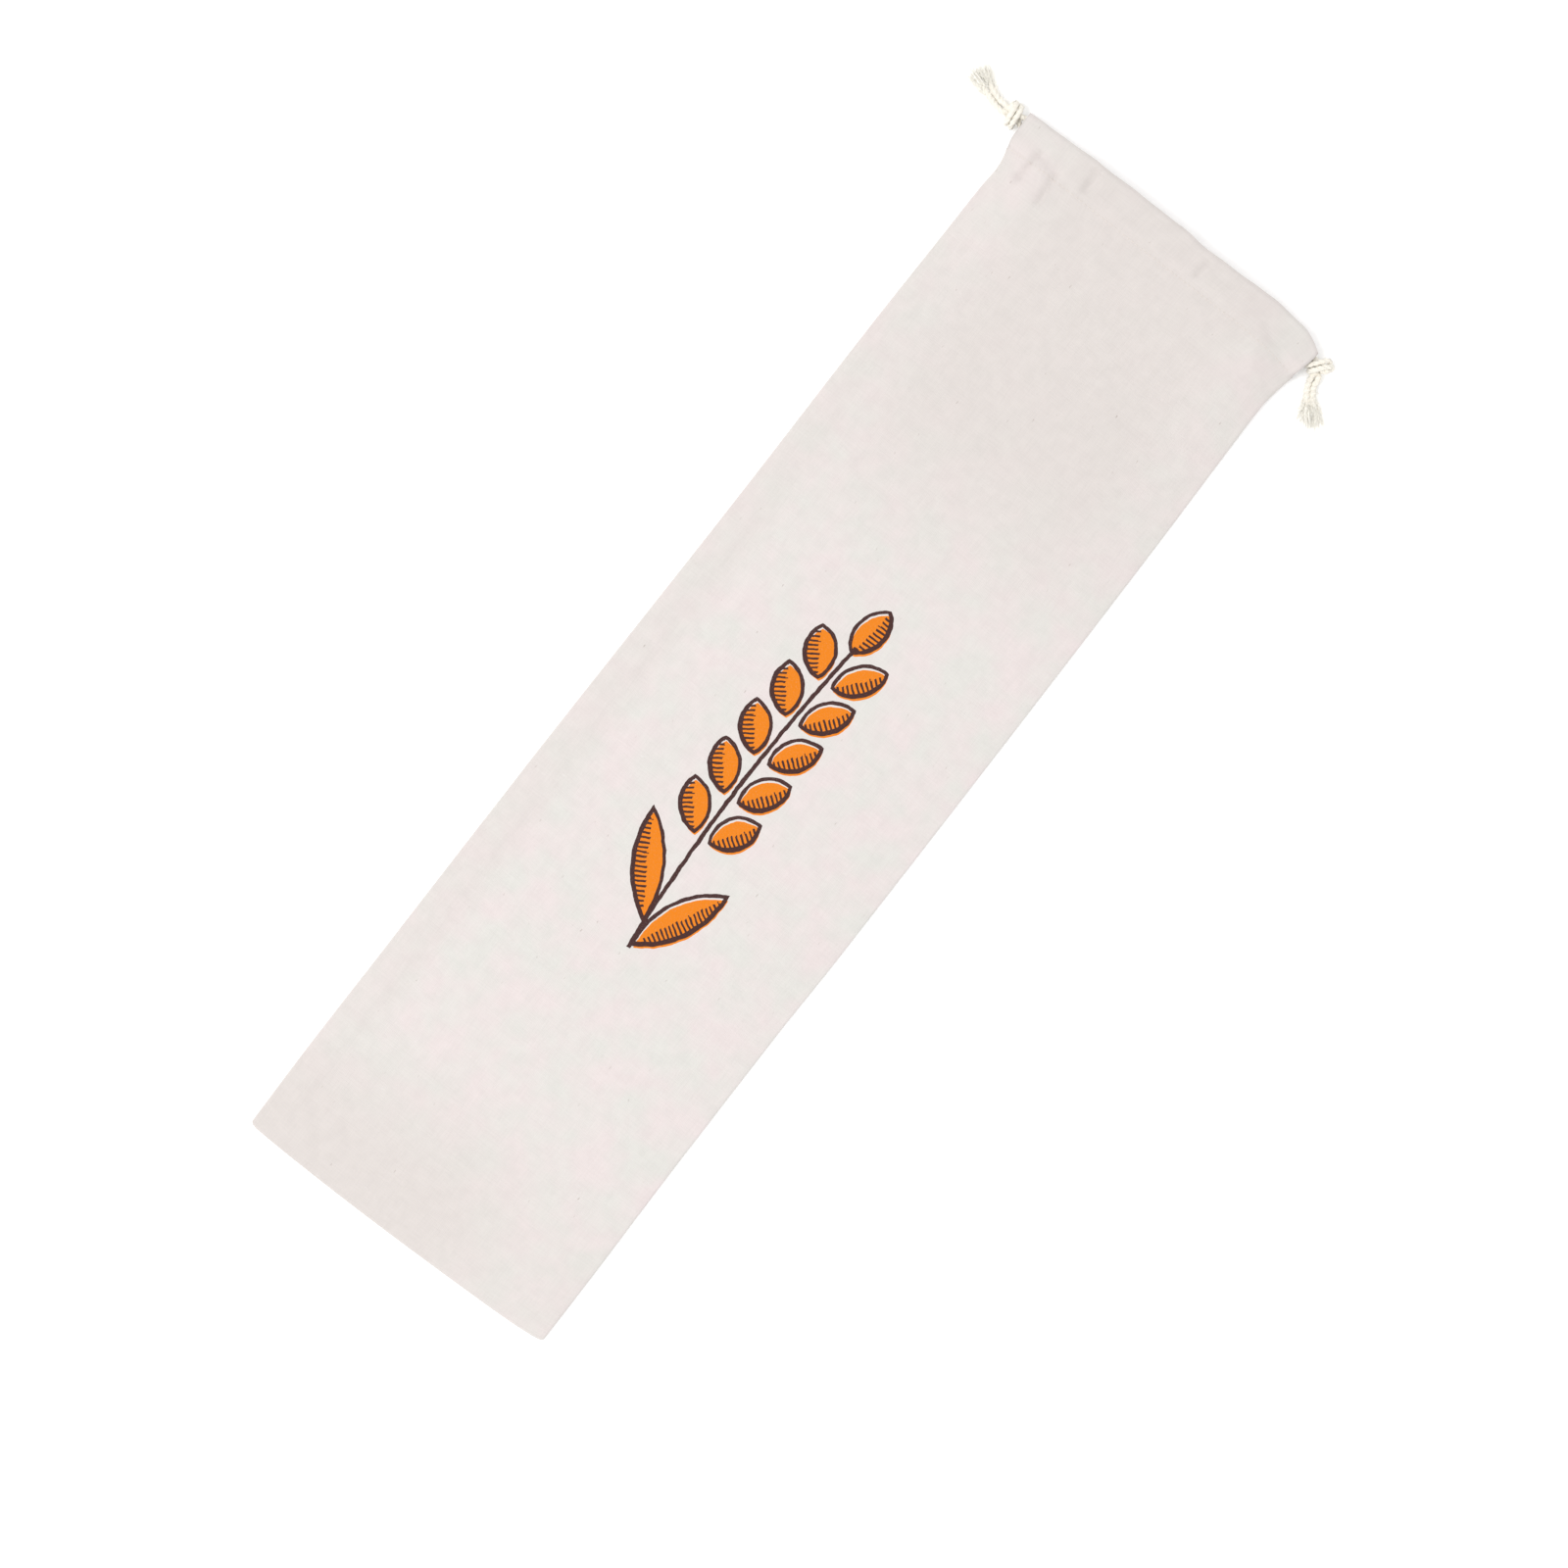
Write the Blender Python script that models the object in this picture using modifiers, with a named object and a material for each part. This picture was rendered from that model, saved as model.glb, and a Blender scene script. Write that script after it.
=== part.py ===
"""Linen bread bag: a long flat drawstring bag, empty, lying face up on a level surface.

One length of cloth is folded at the bottom, closed along both sides and hemmed inward at the mouth into a
front and a back casing. Two cords run through both casings and are knotted at opposite ends.

Sizes are in millimetres in the tables below and become metres in the meshes. +Y runs along the bag to its
mouth, +Z is up, and the origin lies on the surface under the middle of the cloth.

Run it with: blender --background --python part.py
"""

import math
from typing import NamedTuple

import bmesh
import bpy
from mathutils import Matrix, Vector

MM = 0.001

# The cloth.
CLOTH_THICK = 1.1
HALF_THICK = CLOTH_THICK / 2
SIDE_COLUMN = 100.0
BOTTOM_Y = -353.0
STITCH_Y = 326.4
EDGE_FOLD_RADIUS = 0.95
MOUTH_FOLD_RADIUS = 2.6
MOUTH_RISE_FROM_Y = 250.0
FOLD_STEPS = 4
# How far a panel's features take to fade out: toward its edges, its bottom and its mouth.
EDGE_EASE_SHARE = 1 / 12
BOTTOM_EASE = 30.0
MOUTH_SHAPE_FROM_Y = 190.0
BOTTOM_EDGE_REACH = 90.0
STITCH_LINE_REACH = 70.0

# The casings: folded hems that hold the cords.
CORD_DIAMETER = 3.5
CORD_ROOM = 0.3
TUNNEL_HEIGHT = CORD_DIAMETER + 2 * CORD_ROOM + CLOTH_THICK
HEM_GAP = 1.5
HEM_PINCH_SHARE = 0.25
HEM_END_COLUMN = 88.0
CASING_PUFF = 1.2
SIDE_GAP = 1.5
MOUTH_GAP = 5.5
MOUTH_FLAT_X = 48.0
MOUTH_CLOSED_X = 90.0

# The cords.
UPPER_LANE = 0.94
LOWER_LANE = 0.39
BIGHT_INSIDE = 0.3
LANE_OUTSIDE = 6.4
CORD_STEP = 8.0
KNOT_HEIGHT = 5.3
KNOT_HALF_LENGTH = 5.5
STRAND_SPREAD_Y = 2.2
STRAND_SPREAD_Z = 1.5
STRAND_STRAIGHT = 1.6
CORD_SIDES = 8
LOCK_SIDES = 4
LOCK_ROOT_INSIDE = 2.2
LOCK_ROOT_LIFT = 0.25
MERGE_WITHIN = 1e-6

CLOTH_COLOUR = (0.83, 0.78, 0.74, 1.0)
CORD_COLOUR = (0.88, 0.84, 0.72, 1.0)


class SideRow(NamedTuple):
    """Where the left and right edges lie at a place along the bag."""

    y: float
    left: float
    right: float


class EdgePoint(NamedTuple):
    """How far up an edge or a seam lies at a place across the bag."""

    x: float
    y: float


class CrownRow(NamedTuple):
    """How much higher than its edges the front panel's middle stands."""

    y: float
    height: float


class Trough(NamedTuple):
    """A soft crease in the front from its head to its foot. A negative depth is a ridge."""

    head_x: float
    head_y: float
    foot_x: float
    foot_y: float
    width: float
    depth: float


class Swell(NamedTuple):
    """A broad rise or, with a negative height, hollow of the front panel."""

    x: float
    y: float
    reach_x: float
    reach_y: float
    height: float


class Tail(NamedTuple):
    """A point of a cord's free end, measured from the surface under its knot's middle."""

    x: float
    y: float
    z: float


class Lock(NamedTuple):
    """A frayed lock: the direction it points in, its length, and how far it stands from the tail's middle."""

    turn: float
    length: float
    shift: float
    thick: float


SIDES = (
    SideRow(-353.0, -99.6, 99.4),
    SideRow(-300.0, -100.3, 99.8),
    SideRow(-240.0, -100.8, 100.0),
    SideRow(-165.0, -101.1, 98.9),
    SideRow(-130.0, -100.9, 98.5),
    SideRow(-85.0, -100.5, 100.2),
    SideRow(76.0, -100.0, 100.5),
    SideRow(264.0, -98.9, 98.9),
    SideRow(301.0, -97.7, 98.4),
    SideRow(313.0, -97.3, 99.3),
    SideRow(322.0, -98.3, 100.2),
    SideRow(331.0, -100.2, 102.0),
    SideRow(352.0, -100.6, 102.8),
)
BOTTOM_EDGE = (
    EdgePoint(-100.0, -349.6),
    EdgePoint(-95.0, -352.0),
    EdgePoint(-47.0, -353.8),
    EdgePoint(0.0, -353.5),
    EdgePoint(55.0, -352.1),
    EdgePoint(80.0, -350.5),
    EdgePoint(94.0, -348.9),
    EdgePoint(100.0, -346.8),
)
TOP_EDGE = (
    EdgePoint(-101.0, 348.4),
    EdgePoint(-90.0, 349.8),
    EdgePoint(-72.0, 351.5),
    EdgePoint(0.0, 351.8),
    EdgePoint(72.0, 351.6),
    EdgePoint(84.0, 350.6),
    EdgePoint(93.0, 348.0),
    EdgePoint(103.0, 343.0),
)
STITCH_LINE = (
    EdgePoint(-100.0, 325.8),
    EdgePoint(-60.0, 326.6),
    EdgePoint(0.0, 326.4),
    EdgePoint(60.0, 326.2),
    EdgePoint(85.0, 324.6),
    EdgePoint(103.0, 321.8),
)
CROWN = (
    CrownRow(-353.0, 0.0),
    CrownRow(-335.0, 1.1),
    CrownRow(-250.0, 2.3),
    CrownRow(0.0, 2.6),
    CrownRow(150.0, 3.0),
    CrownRow(230.0, 4.1),
    CrownRow(290.0, 6.1),
    CrownRow(328.0, 7.5),
)
GATHERS = (
    Trough(-82.0, 332.0, -84.0, 315.0, 2.7, 1.3),
    Trough(-68.0, 327.0, -67.0, 311.0, 2.5, 1.1),
    Trough(-52.0, 344.0, -51.0, 331.0, 2.4, 1.1),
    Trough(-36.0, 341.0, -36.0, 331.0, 2.2, 0.6),
    Trough(26.0, 342.0, 26.0, 331.0, 2.4, 0.9),
    Trough(70.0, 331.0, 79.0, 314.0, 3.2, -0.9),
)
SWELLS = (
    Swell(56.0, 262.0, 34.0, 40.0, -1.6),
    Swell(-30.0, 268.0, 40.0, 26.0, 0.8),
    Swell(-46.0, 60.0, 30.0, 90.0, 0.6),
    Swell(48.0, -60.0, 30.0, 80.0, 0.5),
    Swell(-20.0, -270.0, 46.0, 44.0, 0.7),
)
SEAM_ALLOWANCE_X = -84.0
SEAM_ALLOWANCE_RISE = 0.45
SEAM_ALLOWANCE_EASE = 2.0

# Columns stand closer where the gathers run.
COLUMNS = (
    -100.0, -94.0, -88.0, -86.2, -85.0, -82.0, -79.0, -74.0, -71.0, -68.0, -65.0, -60.0, -55.0, -52.0, -49.0,
    -42.0, -36.0, -30.0, -20.0, -8.0, 4.0, 14.0, 22.0, 26.0, 30.0, 38.0, 48.0, 58.0, 65.0, 70.0, 75.0, 80.0,
    84.0, 88.0, 94.0, 100.0,
)
BODY_ROWS = (
    STITCH_Y, 322.0, 317.0, 312.0, 306.0, 298.0, 286.0, 270.0, 250.0, 225.0, 195.0, 160.0, 120.0, 75.0, 25.0,
    -30.0, -90.0, -150.0, -210.0, -262.0, -300.0, -326.0, -342.0, -350.0,
)
CASING_SHARES = (0.0, 0.12, 0.26, 0.45, 0.65, 0.85, 1.0)
HEM_SHARES = (1.0, 0.62, 0.26, 0.12, 0.0)

LANE_STATIONS = (-76.0, -66.0, -57.0, -49.0, -40.0, -24.0, -8.0, 8.0, 24.0, 40.0, 49.0, 57.0, 66.0, 76.0)
BIGHT_STEPS = 6

LEFT_KNOT = Vector((-106.9, 340.8, 0.0))
LEFT_KNOT_TURN = math.radians(180.0)
LEFT_TAILS = (
    (
        Tail(-3.0, -0.8, 5.0),
        Tail(-6.5, -1.8, 4.4),
        Tail(-11.0, -1.6, 2.7),
        Tail(-16.0, -0.2, 1.9),
        Tail(-21.0, 1.6, 1.9),
        Tail(-25.5, 3.4, 1.9),
    ),
    (
        Tail(-3.0, 1.2, 5.6),
        Tail(-6.5, 1.9, 4.8),
        Tail(-10.5, 2.8, 2.9),
        Tail(-15.0, 4.4, 2.0),
        Tail(-19.5, 6.2, 1.9),
        Tail(-22.5, 7.6, 1.9),
    ),
)
RIGHT_KNOT = Vector((109.0, 334.6, 0.0))
RIGHT_KNOT_TURN = math.radians(-34.0)
RIGHT_TAILS = (
    (
        Tail(1.6, -2.2, 5.0),
        Tail(2.6, -5.6, 4.4),
        Tail(4.6, -10.0, 2.7),
        Tail(7.4, -14.6, 1.9),
        Tail(10.4, -18.6, 1.9),
        Tail(12.6, -21.4, 1.9),
    ),
    (
        Tail(3.4, -0.6, 5.4),
        Tail(6.2, -3.6, 4.8),
        Tail(9.6, -7.8, 2.9),
        Tail(13.4, -12.0, 2.0),
        Tail(16.8, -15.4, 1.9),
        Tail(19.2, -17.6, 1.9),
    ),
)
FRAY = (
    Lock(-25.0, 7.0, -1.2, 1.5),
    Lock(-12.0, 9.0, -0.6, 1.7),
    Lock(1.0, 10.0, 0.0, 1.75),
    Lock(13.0, 9.0, 0.6, 1.7),
    Lock(26.0, 7.5, 1.2, 1.5),
)
# A knot's turned outline, as (place along it, radius): two wraps with a groove between them.
KNOT_OUTLINE = (
    (5.5, 0.0),
    (5.5, 2.8),
    (4.7, 4.2),
    (3.3, 5.2),
    (1.9, 5.2),
    (0.7, 4.2),
    (-0.3, 4.2),
    (-1.6, 5.2),
    (-3.2, 5.2),
    (-4.7, 4.5),
    (-5.5, 3.5),
    (-5.5, 0.0),
)
KNOT_WIDEN = 1.5
KNOT_SLANT = 0.14
KNOT_STEPS = 16


def ease(share: float) -> float:
    """Return 0 below 0, 1 above 1 and a smooth step between them."""
    share = min(1.0, max(0.0, share))
    return share * share * (3 - 2 * share)


def read(table, column: str, at: float) -> float:
    """Read a column of a table at a value of its first column, on a smooth curve through the rows."""
    places = [row[0] for row in table]
    values = [getattr(row, column) for row in table]
    if at <= places[0]:
        return values[0]
    if at >= places[-1]:
        return values[-1]
    i = max(k for k in range(len(places) - 1) if places[k] <= at)

    def slope(k: int) -> float:
        """Return the curve's slope at a row."""
        low, high = max(0, k - 1), min(len(places) - 1, k + 1)
        return (values[high] - values[low]) / (places[high] - places[low])

    span = places[i + 1] - places[i]
    t = (at - places[i]) / span
    h00, h10 = (1 + 2 * t) * (1 - t) ** 2, t * (1 - t) ** 2
    h01, h11 = t * t * (3 - 2 * t), t * t * (t - 1)
    return h00 * values[i] + h10 * span * slope(i) + h01 * values[i + 1] + h11 * span * slope(i + 1)


def across(column: float, y: float) -> float:
    """Return the x of a column at a place along the bag."""
    left, right = read(SIDES, "left", y), read(SIDES, "right", y)
    return (left + right) / 2 + column / SIDE_COLUMN * (right - left) / 2


def creases(x: float, y: float) -> float:
    """Return how deep the gathers press the front at a place."""
    total = 0.0
    for crease in GATHERS:
        run = Vector((crease.foot_x - crease.head_x, crease.foot_y - crease.head_y))
        off = Vector((x - crease.head_x, y - crease.head_y))
        along = min(1.0, max(0.0, off.dot(run) / run.length_squared))
        total += crease.depth * math.exp(-(((off - run * along).length / crease.width) ** 2))
    return total


def swells(x: float, y: float) -> float:
    """Return the front panel's broad rises and hollows at a place."""
    return sum(
        s.height * math.exp(-(((x - s.x) / s.reach_x) ** 2) - ((y - s.y) / s.reach_y) ** 2) for s in SWELLS
    )


def mouth_lift(x: float) -> float:
    """Return how open the mouth stands: 1 in its middle and 0 at its ends."""
    return 1 - ease((abs(x) - MOUTH_FLAT_X) / (MOUTH_CLOSED_X - MOUTH_FLAT_X))


def fold_radius(y: float) -> float:
    """Return the side fold's radius, which grows toward the mouth."""
    share = ease((y - MOUTH_RISE_FROM_Y) / (STITCH_Y - MOUTH_RISE_FROM_Y))
    return EDGE_FOLD_RADIUS + (MOUTH_FOLD_RADIUS - EDGE_FOLD_RADIUS) * share


def front_height(x: float, y: float, nominal_y: float) -> float:
    """Return the height of the front panel's middle surface below the stitch line."""
    flat = HALF_THICK + 2 * fold_radius(nominal_y)
    inward = min(1.0, abs(x) / SIDE_COLUMN)
    toward_mouth = ease((nominal_y - MOUTH_SHAPE_FROM_Y) / (STITCH_Y - MOUTH_SHAPE_FROM_Y))
    shape = (1 - inward**4) * (1 - toward_mouth) + mouth_lift(x) * toward_mouth
    off_edge = ease((1 - inward) / EDGE_EASE_SHARE)
    off_bottom = ease((nominal_y - BOTTOM_Y) / BOTTOM_EASE)
    seam = SEAM_ALLOWANCE_RISE * ease((SEAM_ALLOWANCE_X - x) / SEAM_ALLOWANCE_EASE + 0.5)
    relief = swells(x, y) - creases(x, y) + seam
    return flat + read(CROWN, "height", nominal_y) * shape + relief * off_edge * off_bottom


def stitch_height(x: float) -> float:
    """Return the height of the front panel at the stitch line."""
    return front_height(x, read(STITCH_LINE, "y", x), STITCH_Y)


def front_hem_height(x: float) -> float:
    """Return the height of the front hem, the lower layer of the front casing."""
    back_hem = HALF_THICK + TUNNEL_HEIGHT
    return back_hem + SIDE_GAP + (MOUTH_GAP - SIDE_GAP) * mouth_lift(x)


def casing_y(x: float, share: float) -> float:
    """Return how far up a share of the casing's depth lies."""
    stitched = read(STITCH_LINE, "y", x)
    return stitched + share * (top_fold_y(x) - stitched)


def top_fold_y(x: float) -> float:
    """Return the place of the top fold's middle."""
    return read(TOP_EDGE, "y", x) - HALF_THICK - TUNNEL_HEIGHT / 2


def casing_heights(x: float, share: float, front: bool) -> tuple[float, float]:
    """Return the heights of a casing's outer layer and of its hem at a share of its depth."""
    opened = ease(share / HEM_PINCH_SHARE)
    if not front:
        return HALF_THICK, HALF_THICK + HEM_GAP + (TUNNEL_HEIGHT - HEM_GAP) * opened
    low = stitch_height(x) - HEM_GAP
    hem = low + (front_hem_height(x) - low) * opened
    puff = CASING_PUFF - creases(x, casing_y(x, share))
    full = front_hem_height(x) + TUNNEL_HEIGHT + puff
    return stitch_height(x) + (full - stitch_height(x)) * opened, hem


def body_y(x: float, nominal_y: float) -> float:
    """Return how far up a row of the body lies, with the bottom edge and the stitch line uneven."""
    bottom = 1 - ease((nominal_y - BOTTOM_Y) / BOTTOM_EDGE_REACH)
    top = 1 - ease((STITCH_Y - nominal_y) / STITCH_LINE_REACH)
    return (
        nominal_y
        + bottom * (read(BOTTOM_EDGE, "y", x) - BOTTOM_Y)
        + top * (read(STITCH_LINE, "y", x) - STITCH_Y)
    )


def body_point(column: float, nominal_y: float, front: bool) -> Vector:
    """Return a point of the front or back panel."""
    inset = column / SIDE_COLUMN * fold_radius(nominal_y)
    x = across(column, nominal_y) - inset
    y = body_y(x, nominal_y)
    return Vector((x, y, front_height(x, y, nominal_y) if front else HALF_THICK))


def casing_point(column: float, share: float, front: bool, hem: bool) -> Vector:
    """Return a point of a casing's outer layer or of its hem."""
    nominal_y = STITCH_Y + share * (read(TOP_EDGE, "y", column) - STITCH_Y)
    inset = column / SIDE_COLUMN * MOUTH_FOLD_RADIUS * (1 - ease(share / HEM_PINCH_SHARE))
    x = across(column, nominal_y) - inset
    return Vector((x, casing_y(x, share), casing_heights(x, share, front)[1 if hem else 0]))


def top_fold_point(column: float, angle: float, front: bool) -> Vector:
    """Return a point of the fold at the mouth, from the outer layer at 0 degrees to the hem at 180."""
    outer = casing_point(column, 1.0, front, False)
    hem = casing_point(column, 1.0, front, True)
    middle = (outer + hem) / 2
    half = (outer.z - hem.z) / 2
    return Vector((outer.x, middle.y + TUNNEL_HEIGHT / 2 * math.sin(angle), middle.z + half * math.cos(angle)))


def bottom_fold_point(column: float, angle: float) -> Vector:
    """Return a point of the fold at the bottom, from the back panel at 0 degrees to the front at 180."""
    back = body_point(column, BODY_ROWS[-1], False)
    front = body_point(column, BODY_ROWS[-1], True)
    half = (front.z - back.z) / 2
    middle = (back.z + front.z) / 2
    return Vector((back.x, back.y - half * math.sin(angle), middle - half * math.cos(angle)))


def fold_angles() -> list[float]:
    """Return the angles between a fold's two ends."""
    return [math.pi * step / FOLD_STEPS for step in range(1, FOLD_STEPS)]


def strip_rows(column: float) -> list[Vector]:
    """Return one column of the cloth, from the back hem round the bottom fold to the front hem."""
    points = [casing_point(column, share, False, True) for share in reversed(HEM_SHARES)]
    points += [top_fold_point(column, angle, False) for angle in reversed(fold_angles())]
    points += [casing_point(column, share, False, False) for share in reversed(CASING_SHARES[1:])]
    points += [body_point(column, y, False) for y in BODY_ROWS]
    points += [bottom_fold_point(column, angle) for angle in fold_angles()]
    points += [body_point(column, y, True) for y in reversed(BODY_ROWS)]
    points += [casing_point(column, share, True, False) for share in CASING_SHARES[1:]]
    points += [top_fold_point(column, angle, True) for angle in fold_angles()]
    points += [casing_point(column, share, True, True) for share in HEM_SHARES]
    return points


def side_fold_points(column: float, nominal_y: float) -> list[Vector]:
    """Return the points of a side seam's round edge, between the back and the front panel."""
    back = body_point(column, nominal_y, False)
    front = body_point(column, nominal_y, True)
    outward = math.copysign(fold_radius(nominal_y), column)
    half, middle = (front.z - back.z) / 2, (front.z + back.z) / 2
    return [
        Vector((back.x + outward * math.sin(angle), back.y, middle - half * math.cos(angle)))
        for angle in fold_angles()
    ]


def cloth_surface() -> bmesh.types.BMesh:
    """Return the cloth's middle surface: the long strip, joined to itself by the side seams."""
    surface = bmesh.new()
    grid = [[surface.verts.new(point * MM) for point in strip_rows(column)] for column in COLUMNS]
    hem_rows = len(HEM_SHARES)
    short_rows = hem_rows - 1 + FOLD_STEPS // 2
    last = len(grid[0]) - 1
    for i in range(len(COLUMNS) - 1):
        cut_short = max(abs(COLUMNS[i]), abs(COLUMNS[i + 1])) > HEM_END_COLUMN
        for j in range(last):
            past_top_edge = j < short_rows or j >= last - short_rows
            if not (cut_short and past_top_edge):
                surface.faces.new((grid[i][j], grid[i + 1][j], grid[i + 1][j + 1], grid[i][j + 1]))
    loose = [vert for vert in surface.verts if not vert.link_faces]
    back_start = hem_rows + len(fold_angles()) + len(CASING_SHARES) - 1
    back_end = back_start + len(BODY_ROWS) - 1
    front_start = back_end + FOLD_STEPS
    for column in (grid[0], grid[-1]):
        side = COLUMNS[0] if column is grid[0] else COLUMNS[-1]
        rings = []
        for k, nominal_y in enumerate(BODY_ROWS):
            middle = [surface.verts.new(point * MM) for point in side_fold_points(side, nominal_y)]
            front = column[front_start + len(BODY_ROWS) - 1 - k]
            rings.append([column[back_start + k], *middle, front])
        rings.append([column[back_end + step] for step in range(FOLD_STEPS + 1)])
        for upper, lower in zip(rings, rings[1:]):
            for k in range(FOLD_STEPS):
                corners = list(dict.fromkeys((upper[k], lower[k], lower[k + 1], upper[k + 1])))
                surface.faces.new(corners)
    bmesh.ops.delete(surface, geom=loose, context="VERTS")
    bmesh.ops.recalc_face_normals(surface, faces=surface.faces)
    return surface


def make_material(name: str, colour, roughness: float) -> bpy.types.Material:
    """Return a plain material."""
    material = bpy.data.materials.new(name)
    material.use_nodes = True
    shader = material.node_tree.nodes["Principled BSDF"]
    shader.inputs["Base Color"].default_value = colour
    shader.inputs["Roughness"].default_value = roughness
    shader.inputs["Metallic"].default_value = 0.0
    return material


def new_object(name: str, data, material, home: bpy.types.Collection) -> bpy.types.Object:
    """Return an object of this data with its material, in a collection."""
    obj = bpy.data.objects.new(name, data)
    data.materials.append(material)
    home.objects.link(obj)
    return obj


def make_bag_cloth(material, home) -> bpy.types.Object:
    """Make the one folded cloth: both panels, the bottom fold, the side seams and the hems."""
    surface = cloth_surface()
    mesh = bpy.data.meshes.new("bag_cloth")
    surface.to_mesh(mesh)
    surface.free()
    mesh.shade_smooth()
    obj = new_object("bag_cloth", mesh, material, home)
    wall = obj.modifiers.new("Cloth", "SOLIDIFY")
    wall.thickness = CLOTH_THICK * MM
    wall.offset = 0.0
    wall.use_even_offset = True
    return obj


def lane_point(x: float, lane: float, front: bool) -> Vector:
    """Return the middle of a cord's lane in a casing."""
    hem = front_hem_height(x) if front else HALF_THICK
    return Vector((x, casing_y(x, lane), hem + TUNNEL_HEIGHT / 2))


def hem_end_x(side: int, outside: float) -> float:
    """Return the x of a place this far outside the hems' ends."""
    return across(side * HEM_END_COLUMN, casing_y(side * HEM_END_COLUMN, 0.5)) + side * outside


def bight(side: int, front_lane: float, back_lane: float) -> list[Vector]:
    """Return the turn of a cord round the far end of the casings, from the front one to the back one."""
    start = lane_point(hem_end_x(side, -BIGHT_INSIDE), front_lane, True)
    end = lane_point(hem_end_x(side, -BIGHT_INSIDE), back_lane, False)
    middle, arm = (start + end) / 2, (start - end) / 2
    out = Vector((side * arm.length, 0, 0))
    angles = [math.pi * step / BIGHT_STEPS for step in range(BIGHT_STEPS + 1)]
    return [middle + arm * math.cos(angle) + out * math.sin(angle) for angle in angles]


def knot_place(knot: Vector, turn: float, along: float, aside: float, z: float) -> Vector:
    """Return a place given along and beside a knot's own line."""
    line = Vector((math.cos(turn), math.sin(turn), 0))
    beside = Vector((0, 1, 0)) if abs(line.x) > 0.99 else Vector((-line.y, line.x, 0))
    return Vector((knot.x, knot.y, 0)) + line * along + beside * aside + Vector((0, 0, z))


def drawstring_route(side: int, knot: Vector, turn: float, front_lane: float) -> list[Vector]:
    """Return a cord's route from its knot, out through the front casing, round and back through the other."""
    back_lane = UPPER_LANE + LOWER_LANE - front_lane
    stations = [hem_end_x(side, LANE_OUTSIDE), hem_end_x(side, -LANE_OUTSIDE)]
    stations += sorted(LANE_STATIONS, reverse=side > 0)
    reach = -KNOT_HALF_LENGTH - CORD_ROOM
    ends = []
    for front, lane in ((True, front_lane), (False, back_lane)):
        up = 1 if front else -1
        aside = STRAND_SPREAD_Y if lane == UPPER_LANE else -STRAND_SPREAD_Y
        z = KNOT_HEIGHT + up * STRAND_SPREAD_Z
        ends.append([knot_place(knot, turn, reach - step, aside, z) for step in (0.0, STRAND_STRAIGHT)])
    front_run = [lane_point(x, front_lane, True) for x in stations]
    back_run = [lane_point(x, back_lane, False) for x in reversed(stations)]
    return ends[0] + front_run + bight(-side, front_lane, back_lane) + back_run + list(reversed(ends[1]))


def smooth_points(route: list[Vector], step: float) -> list[Vector]:
    """Return points about this far apart on a smooth curve through a route."""
    padded = [2 * route[0] - route[1], *route, 2 * route[-1] - route[-2]]
    points = [route[0]]
    for before, here, there, after in zip(padded, padded[1:], padded[2:], padded[3:]):
        reach = (there - here).length
        lean_in = (there - before) * reach / max((there - before).length, reach)
        lean_out = (after - here) * reach / max((after - here).length, reach)
        count = max(1, round(reach / step))
        for n in range(1, count + 1):
            t = n / count
            points.append(
                here * (1 + 2 * t) * (1 - t) ** 2
                + lean_in * t * (1 - t) ** 2
                + there * t * t * (3 - 2 * t)
                + lean_out * t * t * (t - 1)
            )
    return points


def tube(name: str, points: list[Vector], radii: list[float], sides: int, material, home) -> bpy.types.Object:
    """Return a curve object through these points, with a share of the cord's radius at each."""
    curve = bpy.data.curves.new(name, "CURVE")
    curve.dimensions = "3D"
    curve.bevel_depth = CORD_DIAMETER / 2 * MM
    curve.bevel_resolution = 2 if sides == CORD_SIDES else 0
    curve.use_fill_caps = True
    spline = curve.splines.new("POLY")
    spline.points.add(len(points) - 1)
    for target, point, radius in zip(spline.points, points, radii):
        target.co = (*(point * MM), 1.0)
        target.radius = radius
    return new_object(name, curve, material, home)


def as_mesh(obj: bpy.types.Object, home) -> bpy.types.Object:
    """Replace a curve object by a closed mesh one."""
    bpy.context.view_layer.update()
    evaluated = obj.evaluated_get(bpy.context.evaluated_depsgraph_get())
    mesh = bpy.data.meshes.new_from_object(evaluated)
    work = bmesh.new()
    work.from_mesh(mesh)
    bmesh.ops.remove_doubles(work, verts=work.verts, dist=MERGE_WITHIN)
    work.to_mesh(mesh)
    work.free()
    name, place, curve = obj.name, obj.matrix_world.copy(), obj.data
    bpy.data.objects.remove(obj)
    bpy.data.curves.remove(curve)
    made = bpy.data.objects.new(name, mesh)
    made.matrix_world = place
    home.objects.link(made)
    return made


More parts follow.
